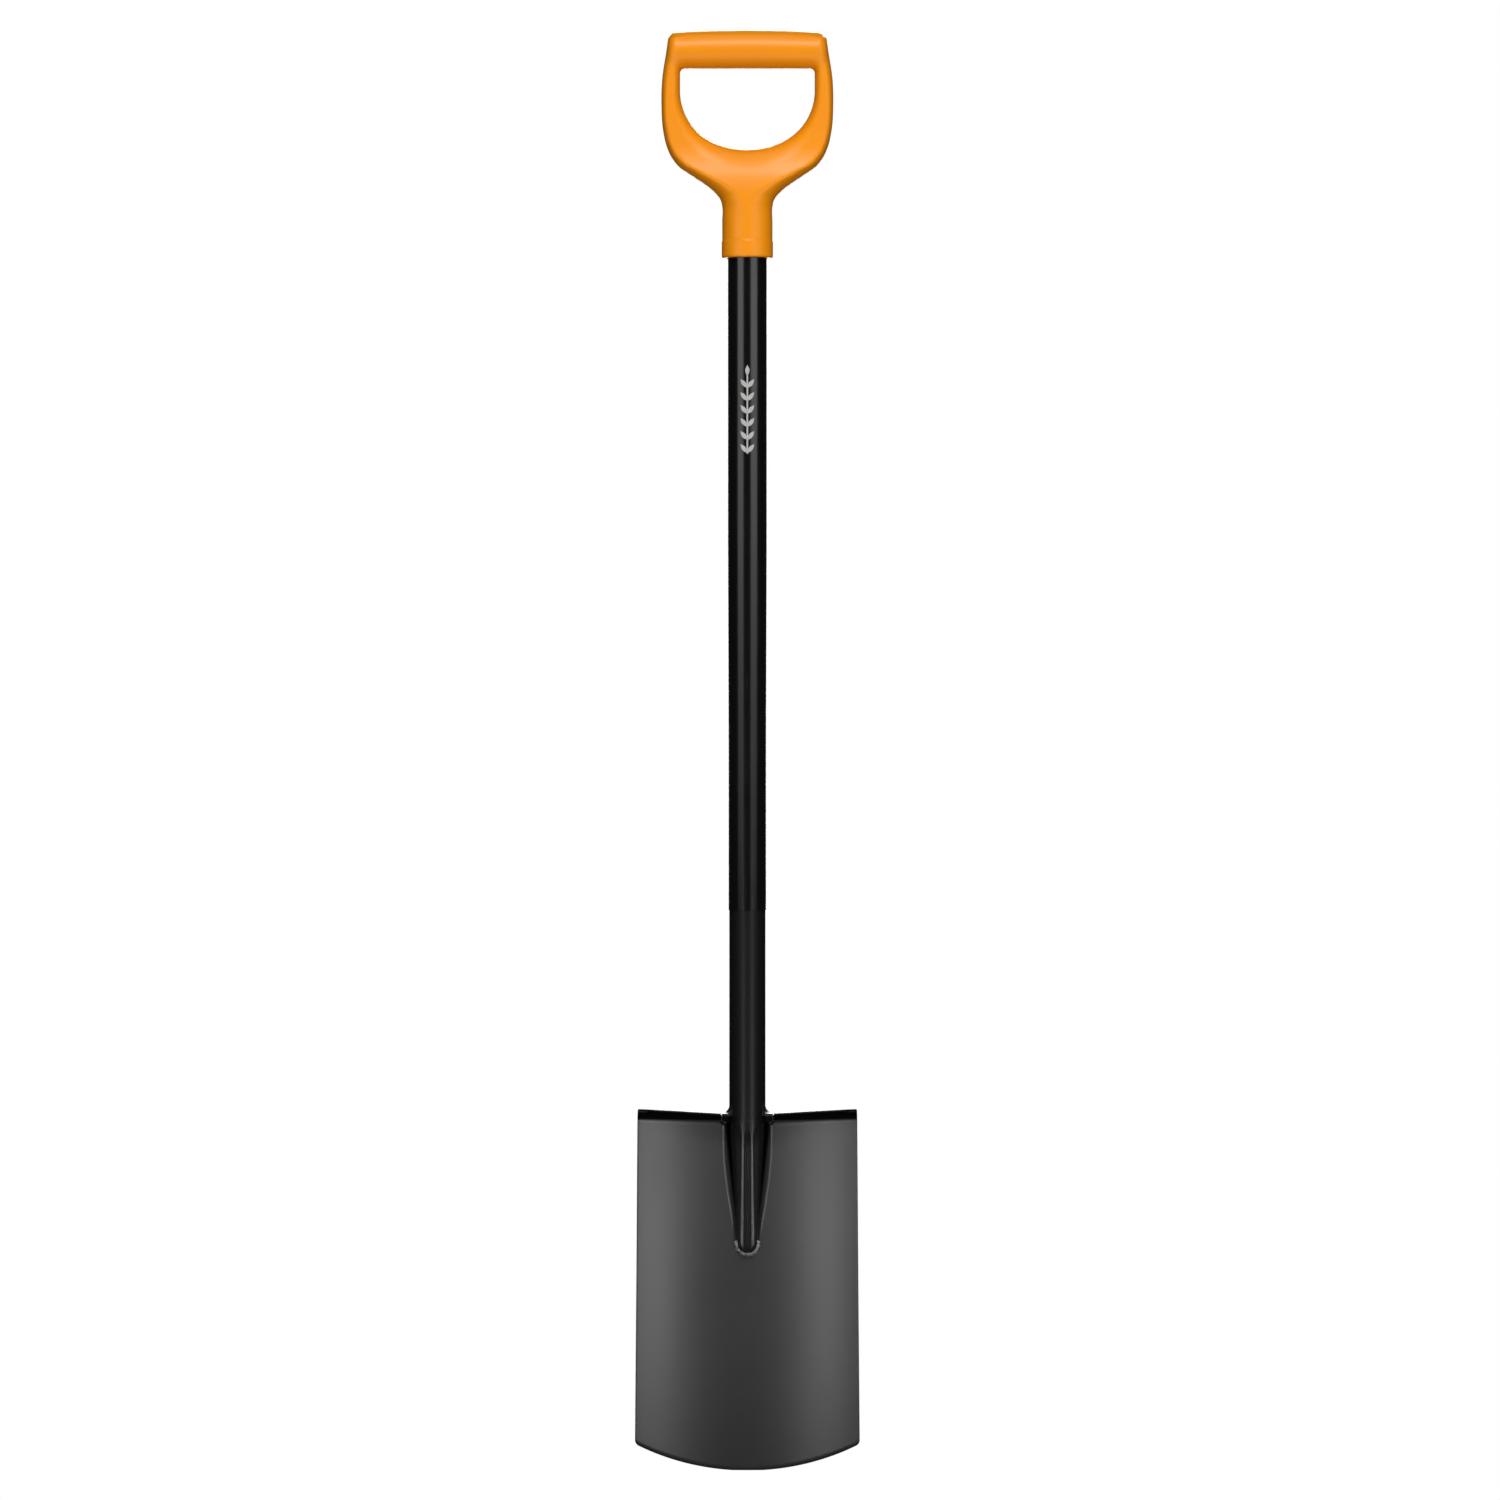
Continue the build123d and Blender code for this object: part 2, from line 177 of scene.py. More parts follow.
def makeMarksGroup():
    # faint handling marks: long thin scuffs along one direction and small dust specks
    group, given, out = newGroup(
        "handlingMarks",
        [("Vector", "NodeSocketVector", None), ("Stretch", "NodeSocketVector", (1.0, 1.0, 0.04)),
         ("Scuff Scale", "NodeSocketFloat", 420.0), ("Dust Scale", "NodeSocketFloat", 600.0)],
        [("Scuffs", "NodeSocketFloat"), ("Dust", "NodeSocketFloat")],
    )
    drawn = addNode(group, "ShaderNodeVectorMath", settings={"operation": "MULTIPLY"})
    group.links.new(given.outputs["Vector"], drawn.inputs[0])
    group.links.new(given.outputs["Stretch"], drawn.inputs[1])
    scuff = addNode(group, "ShaderNodeTexNoise", Vector=drawn.outputs["Vector"],
                    Scale=given.outputs["Scuff Scale"], Detail=4.0, Roughness=0.65)
    scuffs = addNode(group, "ShaderNodeMapRange", Value=scuff.outputs["Fac"], From_Min=0.58, From_Max=0.74)
    speck = addNode(group, "ShaderNodeTexNoise", Vector=given.outputs["Vector"],
                    Scale=given.outputs["Dust Scale"], Detail=2.0)
    dust = addNode(group, "ShaderNodeMapRange", Value=speck.outputs["Fac"], From_Min=0.66, From_Max=0.74)
    group.links.new(scuffs.outputs["Result"], out.inputs["Scuffs"])
    group.links.new(dust.outputs["Result"], out.inputs["Dust"])
    return group


grainGroup = makeGrainGroup()
wearGroup = makeWearGroup()
marksGroup = makeMarksGroup()


def useGroup(tree, group, vector, **values):
    made = tree.nodes.new("ShaderNodeGroup")
    made.node_tree = group
    tree.links.new(vector, made.inputs["Vector"])
    for key, value in values.items():
        made.inputs[key.replace("_", " ")].default_value = value
    return made


def blendColour(tree, factor, first, second):
    mix = tree.nodes.new("ShaderNodeMix")
    mix.data_type = "RGBA"
    tree.links.new(factor, mix.inputs["Factor"])
    for socket, value in ((mix.inputs[6], first), (mix.inputs[7], second)):
        if isinstance(value, bpy.types.NodeSocket):
            tree.links.new(value, socket)
        else:
            socket.default_value = (*value, 1.0)
    return mix.outputs[2]


def upperBandAndTroughShade(tree, coordinates, look):
    # a mask: above a line that climbs to both sides, and painted shade on one side of the trough's outline,
    # where the trough and the tube sit close and face each other
    spread = addNode(tree, "ShaderNodeSeparateXYZ", Vector=coordinates["Object"]).outputs
    side = maths(tree, "ABSOLUTE", spread["X"])
    climb = times(tree, side, look["darkSlope"])
    above = addNode(tree, "ShaderNodeMapRange", Value=minus(tree, spread["Z"], climb),
                    From_Min=look["darkFrom"], From_Max=look["darkFrom"] + look["darkBlend"])
    rise = addNode(tree, "ShaderNodeMapRange", Value=spread["Z"], From_Min=look["hollowLow"],
                   From_Max=look["hollowHigh"]).outputs["Result"]
    half = times(tree, maths(tree, "POWER", rise, look["hollowCurve"]), look["hollowHalf"])
    past = minus(tree, side, half)
    troughShade = times(tree, past, look["hollowSide"] / look["hollowBlend"], True)
    # hollowRound of 0 keeps the painted shade to faces that look forwards, and 5 lets it go all the way
    # round
    facing = addNode(tree, "ShaderNodeSeparateXYZ", Vector=coordinates["Normal"]).outputs["Y"]
    seen = plus(tree, times(tree, facing, -look["facingSharpness"]), look["hollowRound"], True)
    return maths(tree, "MAXIMUM", above.outputs["Result"], times(tree, troughShade, seen))


def makeFinish(name, look):
    # one finish: base colour with slow patches, rubbed edges, scuffs, and grain in the bump; where asked,
    # also a darker upper band and painted shade in the trough
    material = bpy.data.materials.new(name)
    material.use_nodes = True
    tree = material.node_tree
    shader = tree.nodes["Principled BSDF"]
    coordinates = addNode(tree, "ShaderNodeTexCoord").outputs
    vector = coordinates["Object"]
    grain = useGroup(tree, grainGroup, vector, Grain_Scale=look["grainScale"],
                     Wave_Scale=look["waveScale"], Wave_Share=look["waveShare"],
                     Patch_Scale=look["patchScale"])
    wear = useGroup(tree, wearGroup, vector, Edge_Start=look["wearStart"], Edge_End=look["wearEnd"],
                    Break_Up=look["wearBreakUp"])
    marks = useGroup(tree, marksGroup, vector, Stretch=look["scuffStretch"],
                     Scuff_Scale=look["scuffScale"])
    patches = addNode(tree, "ShaderNodeMapRange", Value=grain.outputs["Patches"],
                      From_Min=0.3, From_Max=0.7).outputs["Result"]
    colour = blendColour(tree, patches, look["colour"], look["patchColour"])
    dusty = times(tree, marks.outputs["Dust"], look["dust"], True)
    colour = blendColour(tree, dusty, colour, look["dustColour"])
    worn = times(tree, wear.outputs["Mask"], look["wear"], True)
    colour = blendColour(tree, worn, colour, look["wearColour"])
    # painted shade: this mask darkens the colour and takes the coat off in the trough, and on the blade
    # along the band under the treads
    if "darkFrom" in look:
        dark = upperBandAndTroughShade(tree, coordinates, look)
        colour = blendColour(tree, dark, colour, look["darkColour"])
        coat = addNode(tree, "ShaderNodeMapRange", Value=dark, To_Min=look["coat"], To_Max=0.0)
        tree.links.new(coat.outputs["Result"], shader.inputs["Coat Weight"])
    tree.links.new(colour, shader.inputs["Base Color"])
    rough = addNode(tree, "ShaderNodeMapRange", Value=grain.outputs["Patches"],
                    From_Min=look["patchLow"], From_Max=look["patchHigh"],
                    To_Min=look["roughness"] - look["roughSwing"],
                    To_Max=look["roughness"] + look["roughSwing"])
    scuffed = times(tree, marks.outputs["Scuffs"], look["scuffRoughness"])
    tree.links.new(plus(tree, rough.outputs["Result"], scuffed, True), shader.inputs["Roughness"])
    if look.get("metal"):
        tree.links.new(times(tree, wear.outputs["Mask"], look["metal"], True),
                       shader.inputs["Metallic"])
    bump = addNode(tree, "ShaderNodeBump", Strength=look["bump"], Distance=look["bumpDepth"],
                   Height=grain.outputs["Height"])
    tree.links.new(bump.outputs["Normal"], shader.inputs["Normal"])
    shader.inputs["Specular IOR Level"].default_value = look.get("specular", 0.5)
    shader.inputs["Coat Weight"].default_value = look.get("coat", 0.0)
    shader.inputs["Coat Roughness"].default_value = look.get("coatRoughness", 0.1)
    shader.inputs["Coat IOR"].default_value = look.get("coatIor", 1.5)
    return material


tubeLow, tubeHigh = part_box("shaft_tube")
tubeRadius = tubeHigh[0]

plainLook = {
    "grainScale": 900.0, "waveScale": 60.0, "waveShare": 0.4, "patchScale": 14.0,
    "patchLow": 0.3, "patchHigh": 0.7, "facingSharpness": 4.0,
    "wear": 0.0, "wearStart": 0.53, "wearEnd": 0.60, "wearBreakUp": 220.0, "wearColour": (0.5, 0.5, 0.5),
    "scuffStretch": (1.0, 1.0, 0.04), "scuffScale": 420.0, "scuffRoughness": 0.05,
    "dust": 0.0, "dustColour": (0.35, 0.33, 0.3), "roughSwing": 0.03, "bump": 0.2, "bumpDepth": 0.0002,
}

orangePlastic = makeFinish("orangePlastic", {
    **plainLook, "colour": (0.94, 0.305, 0.004), "patchColour": (0.90, 0.285, 0.004),
    "roughness": 0.37, "grainScale": 1500.0, "bump": 0.20, "bumpDepth": 0.00012, "specular": 0.28,
    "wear": 0.30, "wearColour": (0.95, 0.36, 0.02), "scuffStretch": (0.2, 1.0, 1.0), "scuffRoughness": 0.08,
})
sleevePlastic = makeFinish("sleevePlastic", {
    **plainLook, "colour": (0.0030, 0.0030, 0.0034), "patchColour": (0.0040, 0.0040, 0.0044),
    "roughness": 0.20, "roughSwing": 0.03, "grainScale": 700.0, "waveScale": 35.0, "waveShare": 1.2,
    "bump": 0.05, "bumpDepth": 0.00010, "scuffRoughness": 0.12,
})
coatedSteel = makeFinish("coatedSteel", {
    **plainLook, "colour": (0.0085, 0.0085, 0.0088), "patchColour": (0.0100, 0.0100, 0.0104),
    # painted shade on the tube's flanks down in the trough; from 262 mm up the tube is simply darker and has
    # no coat
    "hollowLow": tubeLow[2] - 3 * mm, "hollowHigh": 275 * mm, "hollowCurve": 0.12, "hollowHalf": 8.2 * mm,
    "hollowSide": 1, "hollowRound": 5.0, "hollowBlend": 2 * mm,
    "darkFrom": 262 * mm, "darkBlend": 24 * mm, "darkSlope": 0.0, "darkColour": (0.0070, 0.0070, 0.0073),
    "specular": 0.16, "coat": 1.0, "coatRoughness": 0.36, "coatIor": 1.7,
    "roughness": 0.36, "grainScale": 1200.0, "waveScale": 300.0, "waveShare": 0.8, "bump": 0.20,
    "bumpDepth": 0.00015, "wear": 0.4, "wearColour": (0.07, 0.07, 0.07), "scuffRoughness": 0.08,
})
bladeSteel = makeFinish("bladeSteel", {
    **plainLook, "colour": (0.024, 0.024, 0.0246), "patchColour": (0.030, 0.030, 0.0307),
    # painted shade inside the trough's outline and along the band under the treads
    "hollowLow": tubeLow[2] - 3 * mm, "hollowHigh": 275 * mm, "hollowCurve": 0.55, "hollowHalf": 18.4 * mm,
    "hollowSide": -1, "hollowRound": 0.0, "hollowBlend": 1.6 * mm,
    "darkFrom": 283 * mm, "darkBlend": 1.2 * mm, "darkSlope": 0.022, "darkColour": (0.0030, 0.0030, 0.0032),
    "specular": 0.12, "coat": 0.78, "coatRoughness": 0.34,
    "patchScale": 9.0, "roughness": 0.34, "roughSwing": 0.04, "grainScale": 1300.0, "waveScale": 240.0,
    "waveShare": 0.9, "bump": 0.22, "bumpDepth": 0.00016, "wear": 0.5, "wearColour": (0.22, 0.22, 0.23),
    "metal": 0.5, "scuffStretch": (0.6, 1.0, 0.06), "scuffScale": 260.0, "scuffRoughness": 0.08,
})
weldMetal = makeFinish("weldMetal", {
    **plainLook, "colour": (0.006, 0.006, 0.0062), "patchColour": (0.014, 0.014, 0.0143), "specular": 0.25,
    "patchScale": 120.0, "roughness": 0.34, "roughSwing": 0.06, "grainScale": 1600.0, "bump": 0.30,
    "bumpDepth": 0.00018, "wear": 0.3, "wearColour": (0.10, 0.10, 0.10),
})
toeWeldPaintedGlints = makeFinish("toeWeldPaintedGlints", {
    # the pale patches are painted glints, spots of light standing in for highlights on the bead
    **plainLook, "colour": (0.02, 0.02, 0.021), "patchColour": (0.45, 0.45, 0.46), "specular": 1.0,
    "patchScale": 330.0, "roughness": 0.24, "roughSwing": 0.06, "grainScale": 1600.0, "bump": 0.30,
    "bumpDepth": 0.00018, "coat": 0.6,
})
screwSteel = makeFinish("screwSteel", {
    **plainLook, "colour": (0.52, 0.52, 0.53), "patchColour": (0.42, 0.42, 0.43), "patchScale": 300.0,
    "roughness": 0.32, "wear": 0.6, "wearColour": (0.75, 0.75, 0.75), "scuffStretch": (1.0, 1.0, 1.0),
    "scuffScale": 900.0, "grainScale": 2500.0,
})
screwSteel.node_tree.nodes["Principled BSDF"].inputs["Metallic"].default_value = 1.0
printInk = makeFinish("printInk", {
    **plainLook, "colour": (0.50, 0.50, 0.485), "patchColour": (0.40, 0.40, 0.385), "patchScale": 400.0,
    "roughness": 0.45, "grainScale": 2500.0, "bump": 0.3, "bumpDepth": 0.00008,
})
print("finishes made")


def newShapeTree(name, inputs):
    # an empty Geometry Nodes tree with these named inputs and one geometry output
    tree = bpy.data.node_groups.new(name, "GeometryNodeTree")
    tree.interface.new_socket(name="Geometry", in_out="INPUT", socket_type="NodeSocketGeometry")
    for label, kind in inputs:
        tree.interface.new_socket(name=label, in_out="INPUT", socket_type=kind)
    tree.interface.new_socket(name="Geometry", in_out="OUTPUT", socket_type="NodeSocketGeometry")
    return tree, tree.nodes.new("NodeGroupInput"), tree.nodes.new("NodeGroupOutput")


def closeShapeTree(tree, given, out, geometry):
    # every tree ends in plain geometry with its finish on it
    plain = addNode(tree, "GeometryNodeRealizeInstances", Geometry=geometry)
    finished = addNode(tree, "GeometryNodeSetMaterial", Geometry=plain.outputs["Geometry"],
                       Material=given.outputs["Finish"])
    tree.links.new(finished.outputs["Geometry"], out.inputs["Geometry"])


def growPiece(piece, tree, values, sharpAngle=40):
    # runs a tree on a piece with these input values, and keeps the result as its plain mesh
    modifier = piece.modifiers.new(tree.name, "NODES")
    modifier.node_group = tree
    for item in tree.interface.items_tree:
        if item.in_out == "INPUT" and item.name in values:
            modifier[item.identifier] = values[item.name]
    bakeModifiers(piece)
    piece.data.polygons.foreach_set("use_smooth", [True] * len(piece.data.polygons))
    piece.data.set_sharp_from_angle(angle=math.radians(sharpAngle))
    return piece


def splitPosition(tree):
    place = tree.nodes.new("GeometryNodeInputPosition")
    return addNode(tree, "ShaderNodeSeparateXYZ", Vector=place.outputs["Position"]).outputs


def joinPosition(tree, x, y, z):
    return addNode(tree, "ShaderNodeCombineXYZ", X=x, Y=y, Z=z).outputs["Vector"]


bladeLow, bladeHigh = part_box("blade")

bladeSizes = {
    "bottomHalf": bladeHigh[0], "topHalf": 88.2 * mm, "treadRise": 4.2 * mm,
    "edgeRise": 23 * mm, "cornerRadius": 2.6 * mm, "thickness": 2 * mm, "dishRadius": 262 * mm,
    "frontAtTreads": 1 * mm, "frontAtTip": -2 * mm, "treadFront": bladeLow[1] + 0.4 * mm,
    "bendRadius": 8 * mm, "slotHalf": 20.7 * mm, "troughTop": 19.8 * mm, "troughToe": 7.4 * mm,
    "troughDepth": 13.9 * mm, "troughGap": 0.3 * mm, "troughEase": (-0.25, 0.78),
    "gapLow": 8 * mm, "gapHigh": 2 * mm, "cornerDrop": 0.8,
    "bevelHeight": 1.8 * mm, "bevelDepth": 0.6 * mm, "slotRise": 2.2 * mm, "slotMargin": 0.002,
    "ripple": 0.10 * mm, "rippleAcross": 47, "rippleUp": 31, "rimBulge": 0.28,
    "centreColumns": 46, "nearColumns": 10, "nearShare": 1.45, "sideColumns": 34, "endShare": 0.008,
    "bevelRows": 5, "wallRows": 150, "bendRows": 9, "treadRows": 8,
}


def makeBlade(sizes):
    length = bladeHigh[2] - sizes["treadRise"]
    toe = tubeLow[2]
    slope = sizes["treadRise"] / (sizes["topHalf"] - tubeRadius)
    edgeRadius = (sizes["bottomHalf"] ** 2 + sizes["edgeRise"] ** 2) / (2 * sizes["edgeRise"])

    def treadTop(x):
        return length + slope * np.maximum(np.abs(x) - tubeRadius, 0)

    def halfWidth(z):
        share = (z - sizes["edgeRise"]) / (length - sizes["edgeRise"])
        return sizes["bottomHalf"] + (sizes["topHalf"] - sizes["bottomHalf"]) * share

    def trough(x, z):
        share = np.clip((z - toe) / (length - toe), 0, 1)
        gap = sizes["troughGap"] * smoothStep(z, toe - sizes["gapLow"], toe + sizes["gapHigh"])
        depth = sizes["troughDepth"] * share + gap
        spread = smoothStep(share, *sizes["troughEase"])
        wide = sizes["troughToe"] + (sizes["troughTop"] - sizes["troughToe"]) * spread
        across = np.clip(np.abs(x) / wide, 0, 1)
        return depth * (1 - across ** 3) ** 2

    def frontY(x, z):
        lean = sizes["frontAtTip"] + (sizes["frontAtTreads"] - sizes["frontAtTip"]) * z / length
        sag = sizes["dishRadius"] - np.sqrt(sizes["dishRadius"] ** 2 - x ** 2)
        wave = np.sin(x * sizes["rippleAcross"] + 1.3) * np.sin(z * sizes["rippleUp"] + 0.4)
        return lean - sag + trough(x, z) + sizes["ripple"] * wave

    # columns, close together over the trough and at the sides' ends
    slotShare = sizes["slotHalf"] / sizes["topHalf"]
    inner = np.linspace(0, slotShare, sizes["centreColumns"] // 2)
    nearEnd = slotShare * sizes["nearShare"]
    near = np.linspace(slotShare, nearEnd, sizes["nearColumns"])[1:]
    outer = nearEnd + (1 - nearEnd) * np.linspace(0, 1, sizes["sideColumns"])[1:]
    half = np.concatenate([inner, near, outer, [1.0]])
    half[-2] = 1 - sizes["endShare"]
    across = np.concatenate([-half[::-1], half[1:]])
    columns = len(across)

    # rows of the front face: up the wall, round the bend, and out along the tread
    wall = np.concatenate([
        np.linspace(0, sizes["bevelHeight"], sizes["bevelRows"])[:-1] / length,
        np.linspace(sizes["bevelHeight"] / length, 1, sizes["wallRows"]),
    ])
    rows = []
    x = across * sizes["bottomHalf"]
    cut = sizes["cornerRadius"]
    for share in wall:
        top = treadTop(x) - sizes["thickness"] - sizes["bendRadius"]
        top = top + sizes["slotRise"] * (np.abs(across) < slotShare - sizes["slotMargin"])  # up to the weld
        bottom = edgeRadius - np.sqrt(edgeRadius ** 2 - np.minimum(np.abs(x), sizes["bottomHalf"]) ** 2)
        past = np.clip((np.abs(across) * sizes["bottomHalf"] - (sizes["bottomHalf"] - cut)) / cut, 0, 1)
        bottom = bottom + cut * (1 - np.sqrt(1 - past ** 2)) * sizes["cornerDrop"]
        z = bottom + (top - bottom) * share
        x = across * halfWidth(z)
        rows.append(np.stack([x, frontY(x, z), z], 1))
    wallCount = len(rows)
    last = rows[-1]
    for step in range(1, sizes["bendRows"] + 1):
        turn = step / sizes["bendRows"] * math.pi / 2
        z = last[:, 2] + sizes["bendRadius"] * math.sin(turn)
        y = last[:, 1] - sizes["bendRadius"] * (1 - math.cos(turn))
        rows.append(np.stack([across * halfWidth(z), y, z], 1))
    last = rows[-1]
    for step in range(1, sizes["treadRows"] + 1):
        y = last[:, 1] + (sizes["treadFront"] - last[:, 1]) * step / sizes["treadRows"]
        rows.append(np.stack([last[:, 0], y, last[:, 2]], 1))
    front = np.array(rows)
    count = len(front)

    # the back face lies one thickness behind, along the surface's own normal
    normal = np.cross(np.gradient(front, axis=1), np.gradient(front, axis=0))
    normal /= np.linalg.norm(normal, axis=2, keepdims=True)
    normal *= np.where(normal[:1, columns // 2, 1:2] > 0, 1, -1)
    back = front + normal * sizes["thickness"]

    # bevel on the front of the cutting edge
    rise = front[:, :, 2] - front[0, :, 2]
    bevel = sizes["bevelDepth"] * np.clip(1 - rise / sizes["bevelHeight"], 0, 1)
    bevel[wallCount:] = 0
    front = front + normal * bevel[:, :, None]

    # faces of the front; above the wall only the treads either side of the slot
    openEdges = {}
    frontFaces = []
    for row in range(count - 1):
        for column in range(columns - 1):
            middle = abs(across[column] + across[column + 1]) / 2
            if row >= wallCount - 1 and middle < slotShare:
                continue
            corner = row * columns + column
            face = [corner, corner + 1, corner + columns + 1, corner + columns]
            frontFaces.append(face)
            for start, end in zip(face, face[1:] + face[:1]):
                if (end, start) in openEdges:
                    del openEdges[(end, start)]
                else:
                    openEdges[(start, end)] = True

    # the rim joins each open edge of the front to the back through a rounded middle line
    points = np.concatenate([front.reshape(-1, 3), back.reshape(-1, 3)])
    behind = count * columns
    middleIndex, middlePoints = {}, []

    def rimMiddle(index):
        if index not in middleIndex:
            row, column = divmod(index, columns)
            push = np.zeros(3)
            if row == 0:
                push = front[0, column] - front[1, column]
            elif column in (0, columns - 1):
                push = front[row, column] - front[row, 1 if column == 0 else columns - 2]
            elif row == count - 1:
                push = front[row, column] - front[row - 1, column]
            push = push / max(np.linalg.norm(push), 1e-9)
            gap = np.linalg.norm(points[index] - points[index + behind])
            middleIndex[index] = len(points) + len(middlePoints)
            between = (points[index] + points[index + behind]) / 2
            middlePoints.append(between + push * gap * sizes["rimBulge"])
        return middleIndex[index]

    faces = frontFaces + [[corner + behind for corner in reversed(face)] for face in frontFaces]
    for start, end in openEdges:
        startMiddle, endMiddle = rimMiddle(start), rimMiddle(end)
        faces.append([end, start, startMiddle, endMiddle])
        faces.append([endMiddle, startMiddle, start + behind, end + behind])
    points = np.concatenate([points, np.array(middlePoints)])
    used = sorted({corner for face in faces for corner in face})
    renumber = {old: new for new, old in enumerate(used)}
    faces = [[renumber[corner] for corner in face] for face in faces]
    return meshPiece("blade_sheet", points[used], faces)


bladeSheet = makeBlade(bladeSizes)
dress(bladeSheet, bladeSteel, stands=("blade",))
print("blade made", len(bladeSheet.data.polygons))


tubeSizes = {
    "treads": bladeHigh[2] - bladeSizes["treadRise"], "top": tubeHigh[2], "wall": 1.5 * mm,
    "toeHalfWidth": 7.4 * mm, "toeHalfDepth": 4.5 * mm, "toeBack": -0.28 * mm,
    "squareness": 0.4, "stripHalf": 8.4 * mm, "creaseDepth": 5.2 * mm, "creaseHalf": 2.2 * mm,
    "creaseTop": 286 * mm, "creaseFull": 262 * mm, "pinchTop": 4 * mm, "pinchFull": 24 * mm,
    "noseDepthShare": 0.5, "noseStart": 0.08, "sharpAngle": 50, "boreBottom": 300 * mm,
    "sides": 96, "noseRows": 12, "taperRows": 84, "shaftRows": 40,
}


def makeTube(sizes):
    # round above the treads, then flattened, creased down its front and closed to a round nose
    toe, treads = tubeLow[2], sizes["treads"]
    noseTop = toe + sizes["toeHalfWidth"]
    turns = np.arange(sizes["sides"]) / sizes["sides"] * 2 * math.pi

    def ring(z):
        share = max((treads - z) / (treads - toe), 0.0)
        halfWidth = tubeRadius + (sizes["toeHalfWidth"] - tubeRadius) * share
        halfDepth = tubeRadius + (sizes["toeHalfDepth"] - tubeRadius) * share
        centre = (sizes["toeBack"] - sizes["toeHalfDepth"]) * share
        power = 2 / (2 + sizes["squareness"] * smoothStep(-z, -treads, -sizes["creaseFull"]))
        across, along = np.sin(turns), -np.cos(turns)
        # the front narrows to a strip below the treads
        pinch = smoothStep(-z, sizes["pinchTop"] - treads, sizes["pinchFull"] - treads)
        pinch = pinch * smoothStep(-along, 0.0, 0.5)
        wide = halfWidth - max(halfWidth - sizes["stripHalf"], 0) * pinch
        x = wide * np.sign(across) * np.abs(across) ** power
        y = centre + halfDepth * np.sign(along) * np.abs(along) ** power
        crease = sizes["creaseDepth"] * smoothStep(-z, -sizes["creaseTop"], -sizes["creaseFull"])
        y = y + crease * np.exp(-((x / sizes["creaseHalf"]) ** 2)) * (along < 0)
        if z < noseTop:
            nose = math.sqrt(max(1 - ((noseTop - z) / sizes["toeHalfWidth"]) ** 2, 0.0))
            x = x * nose
            deep = sizes["noseDepthShare"] + (1 - sizes["noseDepthShare"]) * nose
            y = sizes["toeBack"] + (y - sizes["toeBack"]) * deep
        return np.stack([x, y, np.full_like(x, z)], 1)

    noseTurns = np.linspace(sizes["noseStart"], math.pi / 2, sizes["noseRows"])
    nose = toe + sizes["toeHalfWidth"] * (1 - np.cos(noseTurns))
    taper = np.linspace(noseTop, treads, sizes["taperRows"])[1:]
    shaft = np.linspace(treads, sizes["top"], sizes["shaftRows"])[1:]
    rings = [ring(z) for z in np.concatenate([nose, taper, shaft])]
    bore = tubeRadius - sizes["wall"]
    for z in (sizes["top"], sizes["boreBottom"]):
        rings.append(np.stack([bore * np.sin(turns), -bore * np.cos(turns), np.full_like(turns, z)], 1))
    sides = sizes["sides"]
    faces = []
    for row in range(len(rings) - 1):
        for side in range(sides):
            here, beside = row * sides + side, row * sides + (side + 1) % sides
            faces.append([here, beside, beside + sides, here + sides])
    faces.append(list(range(sides))[::-1])
    faces.append([(len(rings) - 1) * sides + side for side in range(sides)])
    piece = meshPiece("shaft_tube_drawn", np.concatenate(rings), faces)
    piece.data.set_sharp_from_angle(angle=math.radians(sizes["sharpAngle"]))
    return piece


shaftTube = makeTube(tubeSizes)
dress(shaftTube, coatedSteel, stands=("shaft_tube",))
print("tube made", len(shaftTube.data.polygons))

sleeveLow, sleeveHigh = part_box("shaft_sleeve")
sleeveBore = tubeRadius + 0.05 * mm
sleeveSizes = {
    "Bore": sleeveBore, "Wall": sleeveHigh[0] - sleeveBore, "End Wall": 0.45 * mm,
    "Bottom": sleeveLow[2], "Top": sleeveHigh[2], "Taper Bottom": 590 * mm, "Taper Top": 750 * mm,
    "Sides": 128, "Rows": 60, "Finish": sleevePlastic,
}


